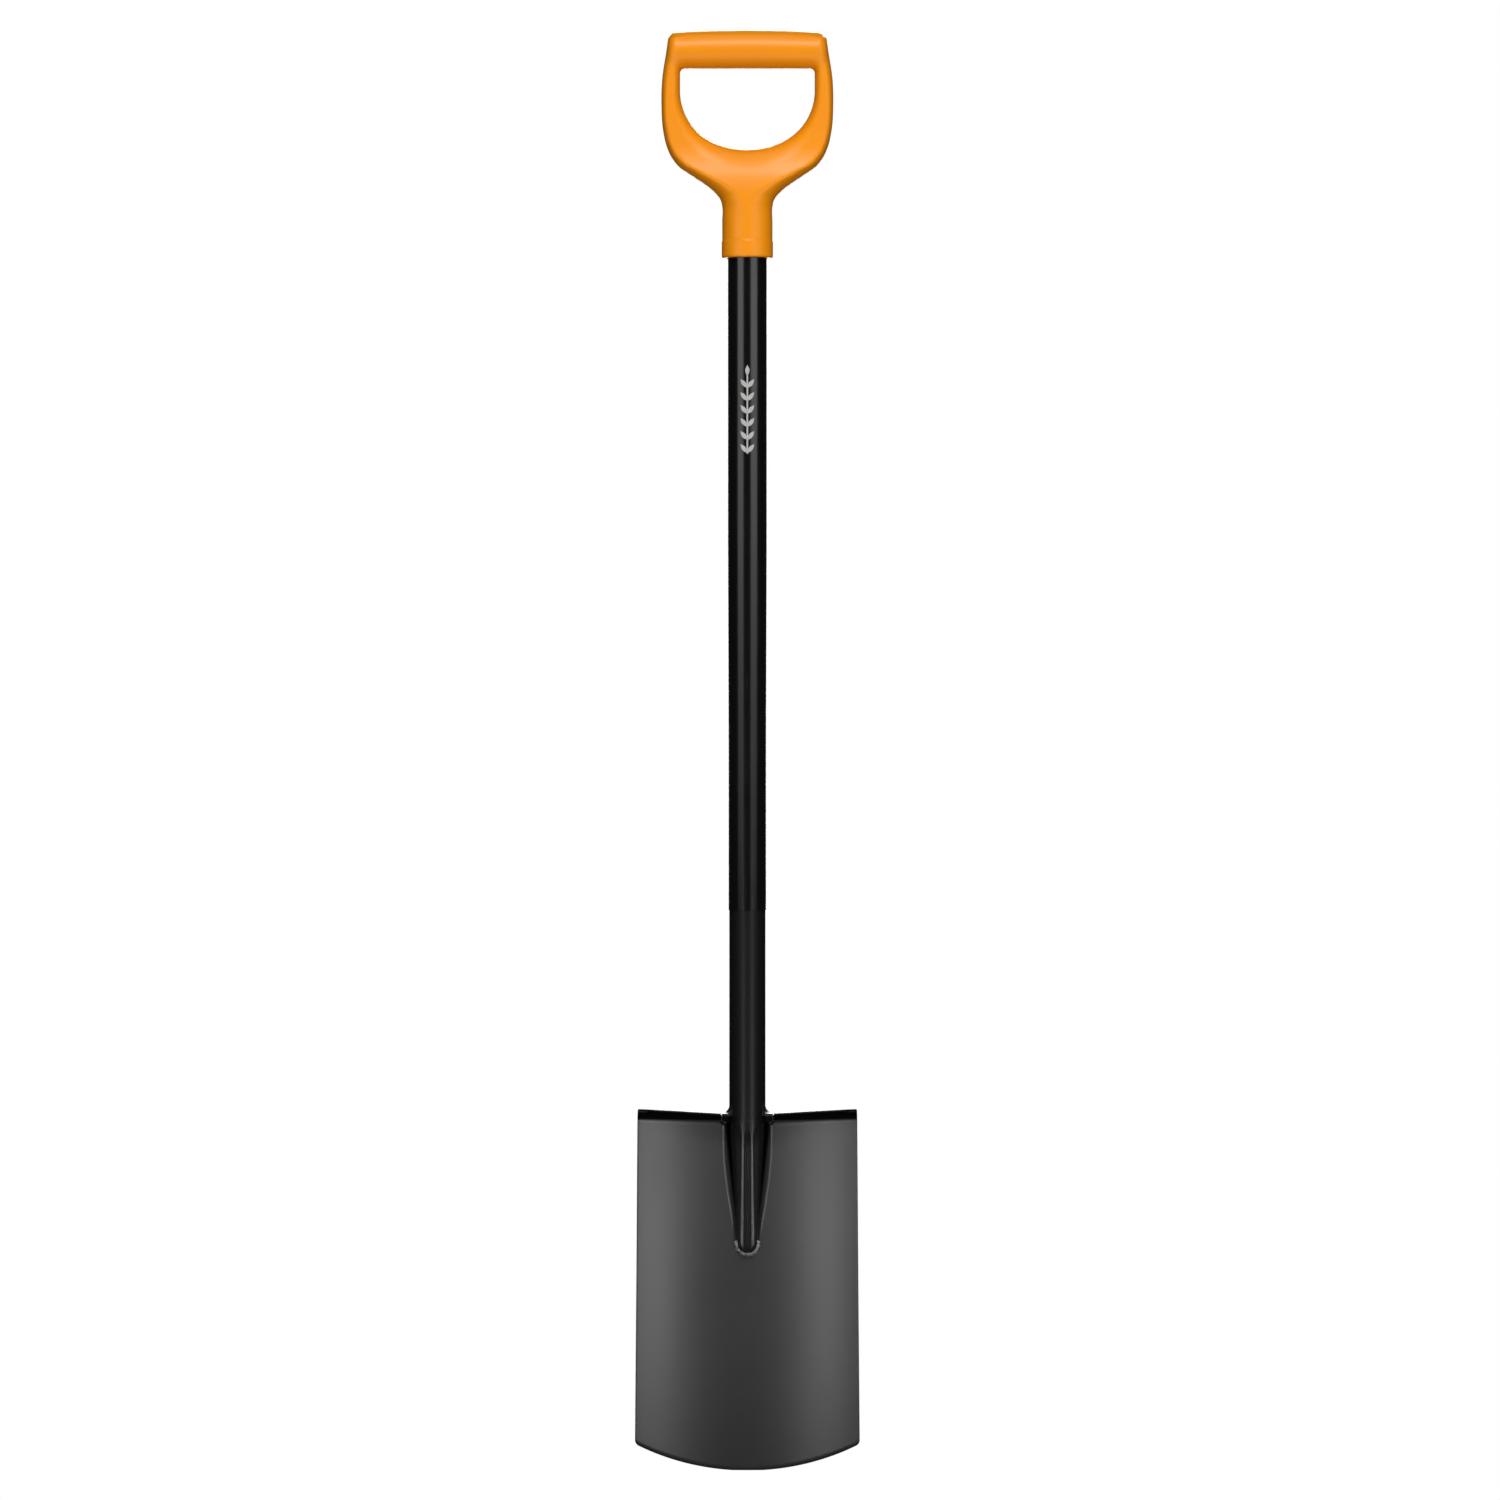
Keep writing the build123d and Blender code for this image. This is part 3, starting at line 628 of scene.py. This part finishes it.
def makeSleeveTree():
    # a wall swept round a circle, then thinned towards its lower end
    tree, given, out = newShapeTree("taperedSleeve", [
        ("Bore", "NodeSocketFloat"), ("Wall", "NodeSocketFloat"), ("End Wall", "NodeSocketFloat"),
        ("Bottom", "NodeSocketFloat"), ("Top", "NodeSocketFloat"), ("Taper Bottom", "NodeSocketFloat"),
        ("Taper Top", "NodeSocketFloat"), ("Sides", "NodeSocketInt"), ("Rows", "NodeSocketInt"),
        ("Finish", "NodeSocketMaterial"),
    ])
    size = given.outputs
    length = minus(tree, size["Top"], size["Bottom"])
    middle = times(tree, plus(tree, size["Top"], size["Bottom"]), 0.5)
    rail = addNode(tree, "GeometryNodeCurvePrimitiveCircle", Resolution=size["Sides"])
    railRadius = plus(tree, size["Bore"], times(tree, size["Wall"], 0.5))
    tree.links.new(railRadius, rail.inputs["Radius"])
    section = addNode(tree, "GeometryNodeCurvePrimitiveQuadrilateral", Width=size["Wall"], Height=length)
    section = addNode(tree, "GeometryNodeSubdivideCurve", Curve=section.outputs["Curve"], Cuts=size["Rows"])
    swept = addNode(tree, "GeometryNodeCurveToMesh", Curve=rail.outputs["Curve"],
                    Profile_Curve=section.outputs["Curve"])
    x, y, z = splitPosition(tree)
    height = plus(tree, z, middle)
    radius = maths(tree, "SQRT", plus(tree, times(tree, x, x), times(tree, y, y)))
    taper = addNode(tree, "ShaderNodeMapRange", Value=height, From_Min=size["Taper Bottom"],
                    From_Max=size["Taper Top"], To_Min=size["End Wall"], To_Max=size["Wall"])
    share = maths(tree, "DIVIDE", minus(tree, radius, size["Bore"]), size["Wall"])
    wanted = plus(tree, size["Bore"], times(tree, share, taper.outputs["Result"]))
    grow = maths(tree, "DIVIDE", wanted, radius)
    placed = addNode(tree, "GeometryNodeSetPosition", Geometry=swept.outputs["Mesh"],
                     Position=joinPosition(tree, times(tree, x, grow),
                                           times(tree, y, grow), height))
    closeShapeTree(tree, given, out, placed.outputs["Geometry"])
    return tree


shaftSleeve = growPiece(meshPiece("shaft_sleeve_moulded", [], []), makeSleeveTree(), sleeveSizes)
dress(shaftSleeve, sleevePlastic, stands=("shaft_sleeve",))
print("sleeve made", len(shaftSleeve.data.polygons))


gripLow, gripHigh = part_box("grip_body")

# heights run up from the socket's end, and each list holds (height, size) knots of a smooth curve
gripSizes = {
    "step": 1.0, "margin": 3, "passes": 3, "reach": 0.05,
    "outline": [(30, 20.4), (42, 20.4), (47.5, 21.8), (54, 27.0), (66.7, 44.6), (73.5, 54.6), (80.5, 60.6),
                (90, 65.2), (103, 68.3), (125, 69.8), (151, 68.6), (170, 65.0), (187, 60.5)],
    "depth": [
        (30, 20.4), (42, 20.4), (58, 19.4), (67, 17.8), (77, 14.8), (87, 12.9), (98, 12.2), (187, 12.0),
    ],
    "outerRound": [(30, 20.4), (42, 20.4), (50, 15.0), (58, 10.0), (68, 7.0), (80, 6.0), (187, 7.0)],
    "innerRound": [(30, 18.0), (76, 17.0), (90, 14.0), (108, 9.0), (130, 7.0), (187, 7.0)],
    "openingHalf": 54.7, "openingBottom": 88.4, "bottomArc": 70.0, "sideArc": 46.0,
    "barMiddle": 169.7, "barRadius": 15.8, "barHalf": 63.9, "barDroop": 0.8, "barCorner": 6.5,
    "barBlend": 4.0, "armTop": 177.0,
    "collarStep": 0.4, "collarTop": 14.2, "grooveDepth": 0.22, "grooveHalf": 0.9, "lip": 1.6,
    "socketRadius": 15.85, "socketLength": 55.5,
    "screwHeight": 26.5, "screwHole": 4.7, "screwSeat": 17.4,
}


def curveThrough(knots, value):
    # smooth curve through (place, size) knots
    place, size = np.array(knots, float).T
    slope = np.gradient(size, place)
    low = np.clip(np.searchsorted(place, value) - 1, 0, len(place) - 2)
    span = place[low + 1] - place[low]
    share = np.clip((value - place[low]) / span, 0, 1)
    start = (1 + 2 * share) * (1 - share) ** 2 * size[low] + share * (1 - share) ** 2 * span * slope[low]
    end = share ** 2 * (3 - 2 * share) * size[low + 1] + share ** 2 * (share - 1) * span * slope[low + 1]
    return start + end


def softUnion(first, second, blend):
    share = np.clip(0.5 + 0.5 * (second - first) / blend, 0, 1)
    return second + (first - second) * share - blend * share * (1 - share)


def gripField(x, y, up, sizes):
    # below zero inside the moulding, in millimetres
    side = np.abs(x)
    collar = sizes["collarStep"] * (1 - smoothStep(up, sizes["collarTop"] - 0.4, sizes["collarTop"] + 0.4))
    groove = sizes["grooveDepth"] * np.exp(-(((up - sizes["collarTop"]) / sizes["grooveHalf"]) ** 2))
    outline = curveThrough(sizes["outline"], up)
    lean = (curveThrough(sizes["outline"], up + 0.5) - curveThrough(sizes["outline"], up - 0.5))
    outerRound = curveThrough(sizes["outerRound"], up) + collar - groove
    fromSide = (outline + collar - groove - side) / np.sqrt(1 + lean ** 2)
    acrossOut = np.maximum(1 - fromSide / outerRound, 0)

    # distance out from the hand opening's rim: straight sides, two side arcs and the bottom arc
    sideX = sizes["openingHalf"] - sizes["sideArc"]
    bottomUp = sizes["openingBottom"] + sizes["bottomArc"]
    sideDrop = math.sqrt((sizes["bottomArc"] - sizes["sideArc"]) ** 2 - sideX ** 2)
    sideUp = bottomUp - sideDrop
    fromBottomArc = np.hypot(side, up - bottomUp) - sizes["bottomArc"]
    fromSideArc = np.hypot(side - sideX, up - sideUp) - sizes["sideArc"]
    fromOpening = np.where(side * sideDrop > sideX * (bottomUp - up), fromSideArc, fromBottomArc)
    fromOpening = np.where(up > sideUp, side - sizes["openingHalf"], fromOpening)
    acrossIn = np.maximum(1 - fromOpening / curveThrough(sizes["innerRound"], up), 0)

    depth = curveThrough(sizes["depth"], up) + collar - groove
    body = (np.sqrt((y / depth) ** 2 + acrossOut ** 2 + acrossIn ** 2) - 1) * outerRound
    body = np.maximum(body, up - sizes["armTop"])

    # bar, a little thinner and lower towards its ends
    droop = sizes["barDroop"] * (x / sizes["openingHalf"]) ** 2
    fromAxis = np.hypot(y, up - sizes["barMiddle"] + droop) - (sizes["barRadius"] - droop)
    corner = sizes["barCorner"]
    pastEnd, pastRound = side - sizes["barHalf"] + corner, fromAxis + corner
    bar = np.hypot(np.maximum(pastEnd, 0), np.maximum(pastRound, 0)) + np.minimum(
        np.maximum(pastEnd, pastRound), 0) - corner
    solid = softUnion(body, bar, sizes["barBlend"])

    # rounded lip at the socket's end, then the socket and the screw's recess
    lip = sizes["lip"]
    inward, below = solid + lip, lip - up
    solid = np.hypot(np.maximum(inward, 0), np.maximum(below, 0)) + np.minimum(
        np.maximum(inward, below), 0) - lip
    socket = np.maximum(np.hypot(x, y) - sizes["socketRadius"], up - sizes["socketLength"])
    recess = np.maximum(np.hypot(x, up - sizes["screwHeight"]) - sizes["screwHole"], sizes["screwSeat"] - y)
    return np.maximum(solid, -np.minimum(socket, recess))


def surfaceNet(field, low, step):
    # one point in each cell that the surface crosses, one face round each grid edge that crosses it
    cells = tuple(size - 1 for size in field.shape)
    total, count = np.zeros(cells + (3,)), np.zeros(cells)
    corners = [(i, j, k) for i in (0, 1) for j in (0, 1) for k in (0, 1)]

    def valuesAt(corner):
        return field[tuple(slice(start, start + size) for start, size in zip(corner, cells))]

    for corner in corners:
        for axis in range(3):
            if corner[axis]:
                continue
            beyond = tuple(1 if k == axis else corner[k] for k in range(3))
            here, there = valuesAt(corner), valuesAt(beyond)
            crossed = (here < 0) != (there < 0)
            share = np.where(crossed, here / np.where(crossed, here - there, 1), 0)
            for k in range(3):
                total[..., k] += crossed * (corner[k] + (share if k == axis else 0))
            count += crossed
    used = count > 0
    number = np.full(cells, -1)
    number[used] = np.arange(used.sum())
    points = (np.argwhere(used) + total[used] / count[used][:, None]) * step + low
    faces = []
    for axis in range(3):
        first, second = (axis + 1) % 3, (axis + 2) % 3
        ahead = np.take(field, range(1, field.shape[axis]), axis)
        behind = np.take(field, range(field.shape[axis] - 1), axis)
        edges = np.argwhere((ahead < 0) != (behind < 0))
        outward = (behind < 0)[tuple(edges.T)]
        around = []
        for back in ((1, 1), (0, 1), (0, 0), (1, 0)):
            cell = edges.copy()
            cell[:, first] -= back[0]
            cell[:, second] -= back[1]
            around.append(number[tuple(cell.T)])
        quads = np.stack(around, 1)
        quads[~outward] = quads[~outward][:, ::-1]
        faces.append(quads)
    return points, np.concatenate(faces)


def makeGrip(sizes):
    step = sizes["step"]
    foot = gripLow[2] / mm
    margin = sizes["margin"] * step
    low = np.array([gripLow[0] / mm, gripLow[1] / mm, 0]) - margin
    high = np.array([gripHigh[0] / mm, gripHigh[1] / mm, gripHigh[2] / mm - foot]) + margin
    axes = [np.arange(start, end, step) for start, end in zip(low, high)]
    field = gripField(*np.meshgrid(*axes, indexing="ij"), sizes)
    points, faces = surfaceNet(field, low, step)
    reach = sizes["reach"]
    for _ in range(sizes["passes"]):  # draw every point on to the exact surface
        value = gripField(*points.T, sizes)
        slope = np.stack([
            gripField(*(points + reach * shift).T, sizes) - gripField(*(points - reach * shift).T, sizes)
            for shift in np.eye(3)], 1) / (2 * reach)
        move = value[:, None] * slope / np.maximum((slope ** 2).sum(1), 0.05)[:, None]
        size = np.linalg.norm(move, axis=1)
        points -= move * np.minimum(1, 0.4 * step / np.maximum(size, 1e-9))[:, None]
    points[:, 2] += foot
    return meshPiece("grip_moulding", points * mm, faces.tolist())


gripMoulding = makeGrip(gripSizes)
dress(gripMoulding, orangePlastic, stands=("grip_body",))
print("grip made", len(gripMoulding.data.polygons))


toeWeldSizes = {
    "Bead Radius": 2.6 * mm, "Step": 1.3 * mm, "Ripple Length": 1.5 * mm, "Unevenness": 0.10, "Seed": 4,
    "Finish": toeWeldPaintedGlints,
}
toeWeldPath = {"radius": 8.2 * mm, "legs": 1.2 * mm, "front": -1.0 * mm, "points": 24}
treadWeldSizes = {
    "Bead Radius": 2.2 * mm, "Step": 1.5 * mm, "Ripple Length": 1.9 * mm, "Unevenness": 0.10, "Seed": 9,
    "Finish": weldMetal,
}
treadWeldPath = {"radius": 18.9 * mm, "turn": math.radians(98), "height": 282.4 * mm, "points": 60}


def makeWeldTree():
    # overlapping scales, one a step, along the path that the piece brings with it
    tree, given, out = newShapeTree("weldRun", [
        ("Bead Radius", "NodeSocketFloat"), ("Step", "NodeSocketFloat"),
        ("Ripple Length", "NodeSocketFloat"), ("Unevenness", "NodeSocketFloat"), ("Seed", "NodeSocketInt"),
        ("Finish", "NodeSocketMaterial"),
    ])
    size = given.outputs
    path = addNode(tree, "GeometryNodeMeshToCurve", Mesh=size["Geometry"])
    path = addNode(tree, "GeometryNodeResampleCurve", settings={"mode": "LENGTH"},
                   Curve=path.outputs["Curve"], Length=size["Step"])
    along = tree.nodes.new("GeometryNodeInputTangent")
    turned = addNode(tree, "FunctionNodeAlignRotationToVector", settings={"axis": "Z"},
                     Vector=along.outputs["Tangent"])
    scale = addNode(tree, "GeometryNodeMeshUVSphere", Segments=20, Rings=12, Radius=1.0)
    uneven = tree.nodes.new("FunctionNodeRandomValue")
    uneven.data_type = "FLOAT"
    tree.links.new(minus(tree, 1.0, size["Unevenness"]), uneven.inputs[2])
    tree.links.new(plus(tree, 1.0, size["Unevenness"]), uneven.inputs[3])
    tree.links.new(size["Seed"], uneven.inputs[8])
    bead = times(tree, size["Bead Radius"], uneven.outputs[1])
    run = addNode(tree, "GeometryNodeInstanceOnPoints", Points=path.outputs["Curve"],
                  Instance=scale.outputs["Mesh"], Rotation=turned.outputs["Rotation"],
                  Scale=joinPosition(tree, bead, bead, size["Ripple Length"]))
    closeShapeTree(tree, given, out, run.outputs["Instances"])
    return tree


def lineOfPoints(name, points):
    mesh = bpy.data.meshes.new(name)
    mesh.from_pydata(points, [(k, k + 1) for k in range(len(points) - 1)], [])
    return linkObject(name, mesh)


def toeWeldLine(path):
    # round the toe's nose from one side to the other, with a short leg up each side
    middle, radius, front = tubeLow[2] + tubeSizes["toeHalfWidth"], path["radius"], path["front"]
    turns = np.linspace(0, math.pi, path["points"])
    points = [(radius * math.cos(t), front, middle - radius * math.sin(t)) for t in turns]
    legs = [(side * radius, front, middle + path["legs"]) for side in (1, -1)]
    return lineOfPoints("toe_weld_run", [legs[0], *points, legs[1]])


def treadWeldLine(path):
    # round the back of the tube from one tread to the other
    turns = np.linspace(-path["turn"], path["turn"], path["points"])
    points = [(path["radius"] * math.sin(t), path["radius"] * math.cos(t), path["height"]) for t in turns]
    return lineOfPoints("tread_weld_run", points)


weldTree = makeWeldTree()
toeWeld = growPiece(toeWeldLine(toeWeldPath), weldTree, toeWeldSizes)
dress(toeWeld, toeWeldPaintedGlints, stands=("toe_weld",))
treadWeldRun = growPiece(treadWeldLine(treadWeldPath), weldTree, treadWeldSizes)
dress(treadWeldRun, weldMetal)
print("welds made", len(toeWeld.data.polygons) + len(treadWeldRun.data.polygons))

printLow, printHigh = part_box("shaft_print")
sprigSizes = {
    "Length": printHigh[2] - printLow[2], "Foot": printLow[2], "Radius": sleeveHigh[0] + 0.01 * mm,
    "Thickness": 0.16 * mm, "Stem Width": 1.3 * mm, "Pairs": 6, "Leaf Length": 9.0 * mm,
    "Leaf Width": 3.4 * mm, "Lean": math.radians(38), "Reach": 2.8 * mm, "First Leaf": 4.2 * mm,
    "Finish": printInk,
}


def makeSprigTree():
    # pairs of leaves up a stem, laid flat, thickened and then wrapped round the sleeve
    tree, given, out = newShapeTree("sprigPrint", [
        ("Length", "NodeSocketFloat"), ("Foot", "NodeSocketFloat"), ("Radius", "NodeSocketFloat"),
        ("Thickness", "NodeSocketFloat"), ("Stem Width", "NodeSocketFloat"), ("Pairs", "NodeSocketInt"),
        ("Leaf Length", "NodeSocketFloat"), ("Leaf Width", "NodeSocketFloat"), ("Lean", "NodeSocketFloat"),
        ("Reach", "NodeSocketFloat"), ("First Leaf", "NodeSocketFloat"), ("Finish", "NodeSocketMaterial"),
    ])
    size = given.outputs
    flat = addNode(tree, "GeometryNodeMeshGrid", Size_X=1.0, Size_Y=1.0, Vertices_X=7, Vertices_Y=17)
    x, y, z = splitPosition(tree)
    narrow = maths(tree, "COSINE", times(tree, y, math.pi * 0.995))  # almost to a point
    leaf = addNode(tree, "GeometryNodeSetPosition", Geometry=flat.outputs["Mesh"], Position=joinPosition(
        tree, times(tree, times(tree, x, narrow), size["Leaf Width"]), 0.0,
        times(tree, y, size["Leaf Length"])))
    stemLength = minus(tree, size["Length"], times(tree, size["Leaf Length"], 0.5))
    leafStep = maths(tree, "DIVIDE", minus(tree, stemLength, size["First Leaf"]), size["Pairs"])
    joined = tree.nodes.new("GeometryNodeJoinGeometry")
    for side in (-1, 1):
        spots = addNode(tree, "GeometryNodeMeshLine", Count=size["Pairs"], Start_Location=joinPosition(
            tree, times(tree, size["Reach"], side), 0.0, size["First Leaf"]),
            Offset=joinPosition(tree, 0.0, 0.0, leafStep))
        leaves = addNode(tree, "GeometryNodeInstanceOnPoints", Points=spots.outputs["Mesh"],
                         Instance=leaf.outputs["Geometry"])
        lean = joinPosition(tree, 0.0, times(tree, size["Lean"], side), 0.0)
        tree.links.new(lean, leaves.inputs["Rotation"])
        tree.links.new(leaves.outputs["Instances"], joined.inputs["Geometry"])
    tip = addNode(tree, "GeometryNodeTransform", Geometry=leaf.outputs["Geometry"],
                  Translation=joinPosition(tree, 0.0, 0.0, stemLength))
    tree.links.new(tip.outputs["Geometry"], joined.inputs["Geometry"])
    stem = addNode(tree, "GeometryNodeMeshGrid", Size_X=1.0, Size_Y=1.0, Vertices_X=4, Vertices_Y=60)
    stem = addNode(tree, "GeometryNodeSetPosition", Geometry=stem.outputs["Mesh"], Position=joinPosition(
        tree, times(tree, x, size["Stem Width"]), 0.0,
        times(tree, plus(tree, y, 0.5), stemLength)))
    tree.links.new(stem.outputs["Geometry"], joined.inputs["Geometry"])
    plain = addNode(tree, "GeometryNodeRealizeInstances", Geometry=joined.outputs["Geometry"])
    plain = addNode(tree, "GeometryNodeMergeByDistance", Geometry=plain.outputs["Geometry"], Distance=1e-6)
    raised = addNode(tree, "GeometryNodeExtrudeMesh", Mesh=plain.outputs["Geometry"], Individual=False,
                     Offset=joinPosition(tree, 0.0, times(tree, size["Thickness"], -1.0), 0.0))
    under = addNode(tree, "GeometryNodeFlipFaces", Mesh=plain.outputs["Geometry"])
    closed = tree.nodes.new("GeometryNodeJoinGeometry")
    tree.links.new(raised.outputs["Mesh"], closed.inputs["Geometry"])
    tree.links.new(under.outputs["Mesh"], closed.inputs["Geometry"])
    closed = addNode(tree, "GeometryNodeMergeByDistance", Geometry=closed.outputs["Geometry"], Distance=1e-6)
    turn = maths(tree, "DIVIDE", x, size["Radius"])
    around = minus(tree, size["Radius"], y)
    acrossTurn = times(tree, maths(tree, "SINE", turn), around)
    forwards = times(tree, maths(tree, "COSINE", turn), around)
    place = joinPosition(tree, acrossTurn, times(tree, forwards, -1.0), plus(tree, z, size["Foot"]))
    wrapped = addNode(tree, "GeometryNodeSetPosition", Geometry=closed.outputs["Geometry"], Position=place)
    closeShapeTree(tree, given, out, wrapped.outputs["Geometry"])
    return tree


sprig = growPiece(meshPiece("shaft_sprig", [], []), makeSprigTree(), sprigSizes)
dress(sprig, printInk, stands=("shaft_print",))
print("sprig made", len(sprig.data.polygons))

for nodeName, finish in (("grip_screw", screwSteel), ("tread_weld", weldMetal)):
    nodes[nodeName].data.materials.clear()
    nodes[nodeName].data.materials.append(finish)


overallHeight = gripHigh[2]
studio = {
    "cameraDistance": 6.0, "sensor": 36.0, "frameHeight": overallHeight / 0.96, "cameraSide": 2.15 * mm,
    "floorHalf": 4.0, "floorBounce": 0.02, "skyLight": 0.02,
    # the tall strips are dimmer towards the floor: (low, high, radiance) of each length
    "strips": [(0.44, 0.60, 0.6), (0.60, 0.76, 1.0), (0.76, 0.92, 1.75), (0.92, 1.30, 2.4)],
    # upright panels: (turn from the camera's side, distance, width)
    "stripLeft": (-41, 1.6, 1.0), "stripRight": (40, 1.6, 1.15),
    "lowLeft": (-25, 1.5, 0.26), "lowRight": (31, 1.5, 0.30), "lowSpan": (0.02, 0.23, 18.0),
    # other panels: (place, aim, width, height, radiance)
    "panels": {
        "key": ((0.10, -2.4, 3.0), (0, 0, 0.9), 1.3, 0.8, 18.0),
        "floorFill": ((0.0, -1.2, 0.03), (0, -1.18, 1.0), 2.0, 0.8, 1.5),
        "fill": ((0.0, -0.6, 3.4), (0, 0, 0.9), 1.2, 1.0, 1.5),
        "backPanel": ((0, 3.0, 0.65), (0, 0, 0.65), 0.8, 1.1, 6.0),
        "backKey": ((0.3, 2.8, 2.4), (0, 0, 0.6), 1.3, 0.8, 16.0),
    },
}


def addPanel(name, place, aim, width, height, radiance):
    # an even rectangle of light, as bright as asked whatever its size
    light = bpy.data.lights.new(name, "AREA")
    light.shape = "RECTANGLE"
    light.size, light.size_y = width, height
    light.energy = radiance * width * height * math.pi
    panel = linkObject(name, light)
    panel.location = place
    panel.rotation_euler = (Vector(aim) - Vector(place)).to_track_quat("-Z", "Y").to_euler()
    return panel


def addUpright(name, stand, span):
    # an upright panel facing the shaft
    (turn, distance, width), (low, high, radiance) = stand, span
    angle, middle = math.radians(turn), (low + high) / 2
    place = (math.sin(angle) * distance, -math.cos(angle) * distance, middle)
    return addPanel(name, place, (0, 0, middle), width, high - low, radiance)


def addLights():
    for number, span in enumerate(studio["strips"]):
        addUpright(f"stripLeft{number}", studio["stripLeft"], span)
        addUpright(f"stripRight{number}", studio["stripRight"], span)
    for name in ("lowLeft", "lowRight"):
        addUpright(name, studio[name], studio["lowSpan"])
    for name, panel in studio["panels"].items():
        addPanel(name, *panel)


def seenAndLit(tree, lit, seen, out):
    # white to the camera itself, and dim to everything else
    path = tree.nodes.new("ShaderNodeLightPath")
    chosen = tree.nodes.new("ShaderNodeMixShader")
    for source, socket in ((path.outputs["Is Camera Ray"], 0), (lit.outputs[0], 1), (seen.outputs[0], 2)):
        tree.links.new(source, chosen.inputs[socket])
    tree.links.new(chosen.outputs[0], out.inputs[0])


def makeWorld():
    world = bpy.data.worlds.new("studioWorld")
    bpy.context.scene.world = world
    world.use_nodes = True
    tree = world.node_tree
    tree.nodes.clear()
    out = tree.nodes.new("ShaderNodeOutputWorld")
    seen = addNode(tree, "ShaderNodeBackground", Color=(1, 1, 1, 1), Strength=1.0)
    lit = addNode(tree, "ShaderNodeBackground", Color=(1, 1, 1, 1), Strength=studio["skyLight"])
    seenAndLit(tree, lit, seen, out)


def makeFloor():
    # a pale floor that throws little light back up
    half, bounce = studio["floorHalf"], studio["floorBounce"]
    corners = [(-half, -half, 0), (half, -half, 0), (half, half, 0), (-half, half, 0)]
    studioFloor = meshPiece("studioFloor", corners, [(0, 1, 2, 3)], smooth=False)
    paint = bpy.data.materials.new("floorPaint")
    paint.use_nodes = True
    tree = paint.node_tree
    tree.nodes.clear()
    out = tree.nodes.new("ShaderNodeOutputMaterial")
    lit = addNode(tree, "ShaderNodeBsdfDiffuse", Color=(bounce, bounce, bounce, 1))
    seen = addNode(tree, "ShaderNodeEmission", Color=(1, 1, 1, 1), Strength=1.0)
    seenAndLit(tree, lit, seen, out)
    studioFloor.data.materials.append(paint)


def makeCamera():
    data = bpy.data.cameras.new("camera")
    camera = linkObject("camera", data)
    data.sensor_width = studio["sensor"]
    data.lens = studio["sensor"] * studio["cameraDistance"] / studio["frameHeight"]
    data.clip_end = 100
    camera.location = (studio["cameraSide"], -studio["cameraDistance"], overallHeight / 2)
    camera.rotation_euler = (math.pi / 2, 0, 0)
    bpy.context.scene.camera = camera


addLights()
makeWorld()
makeFloor()
makeCamera()
bpy.context.scene.view_settings.view_transform = "Standard"
print("studio made")
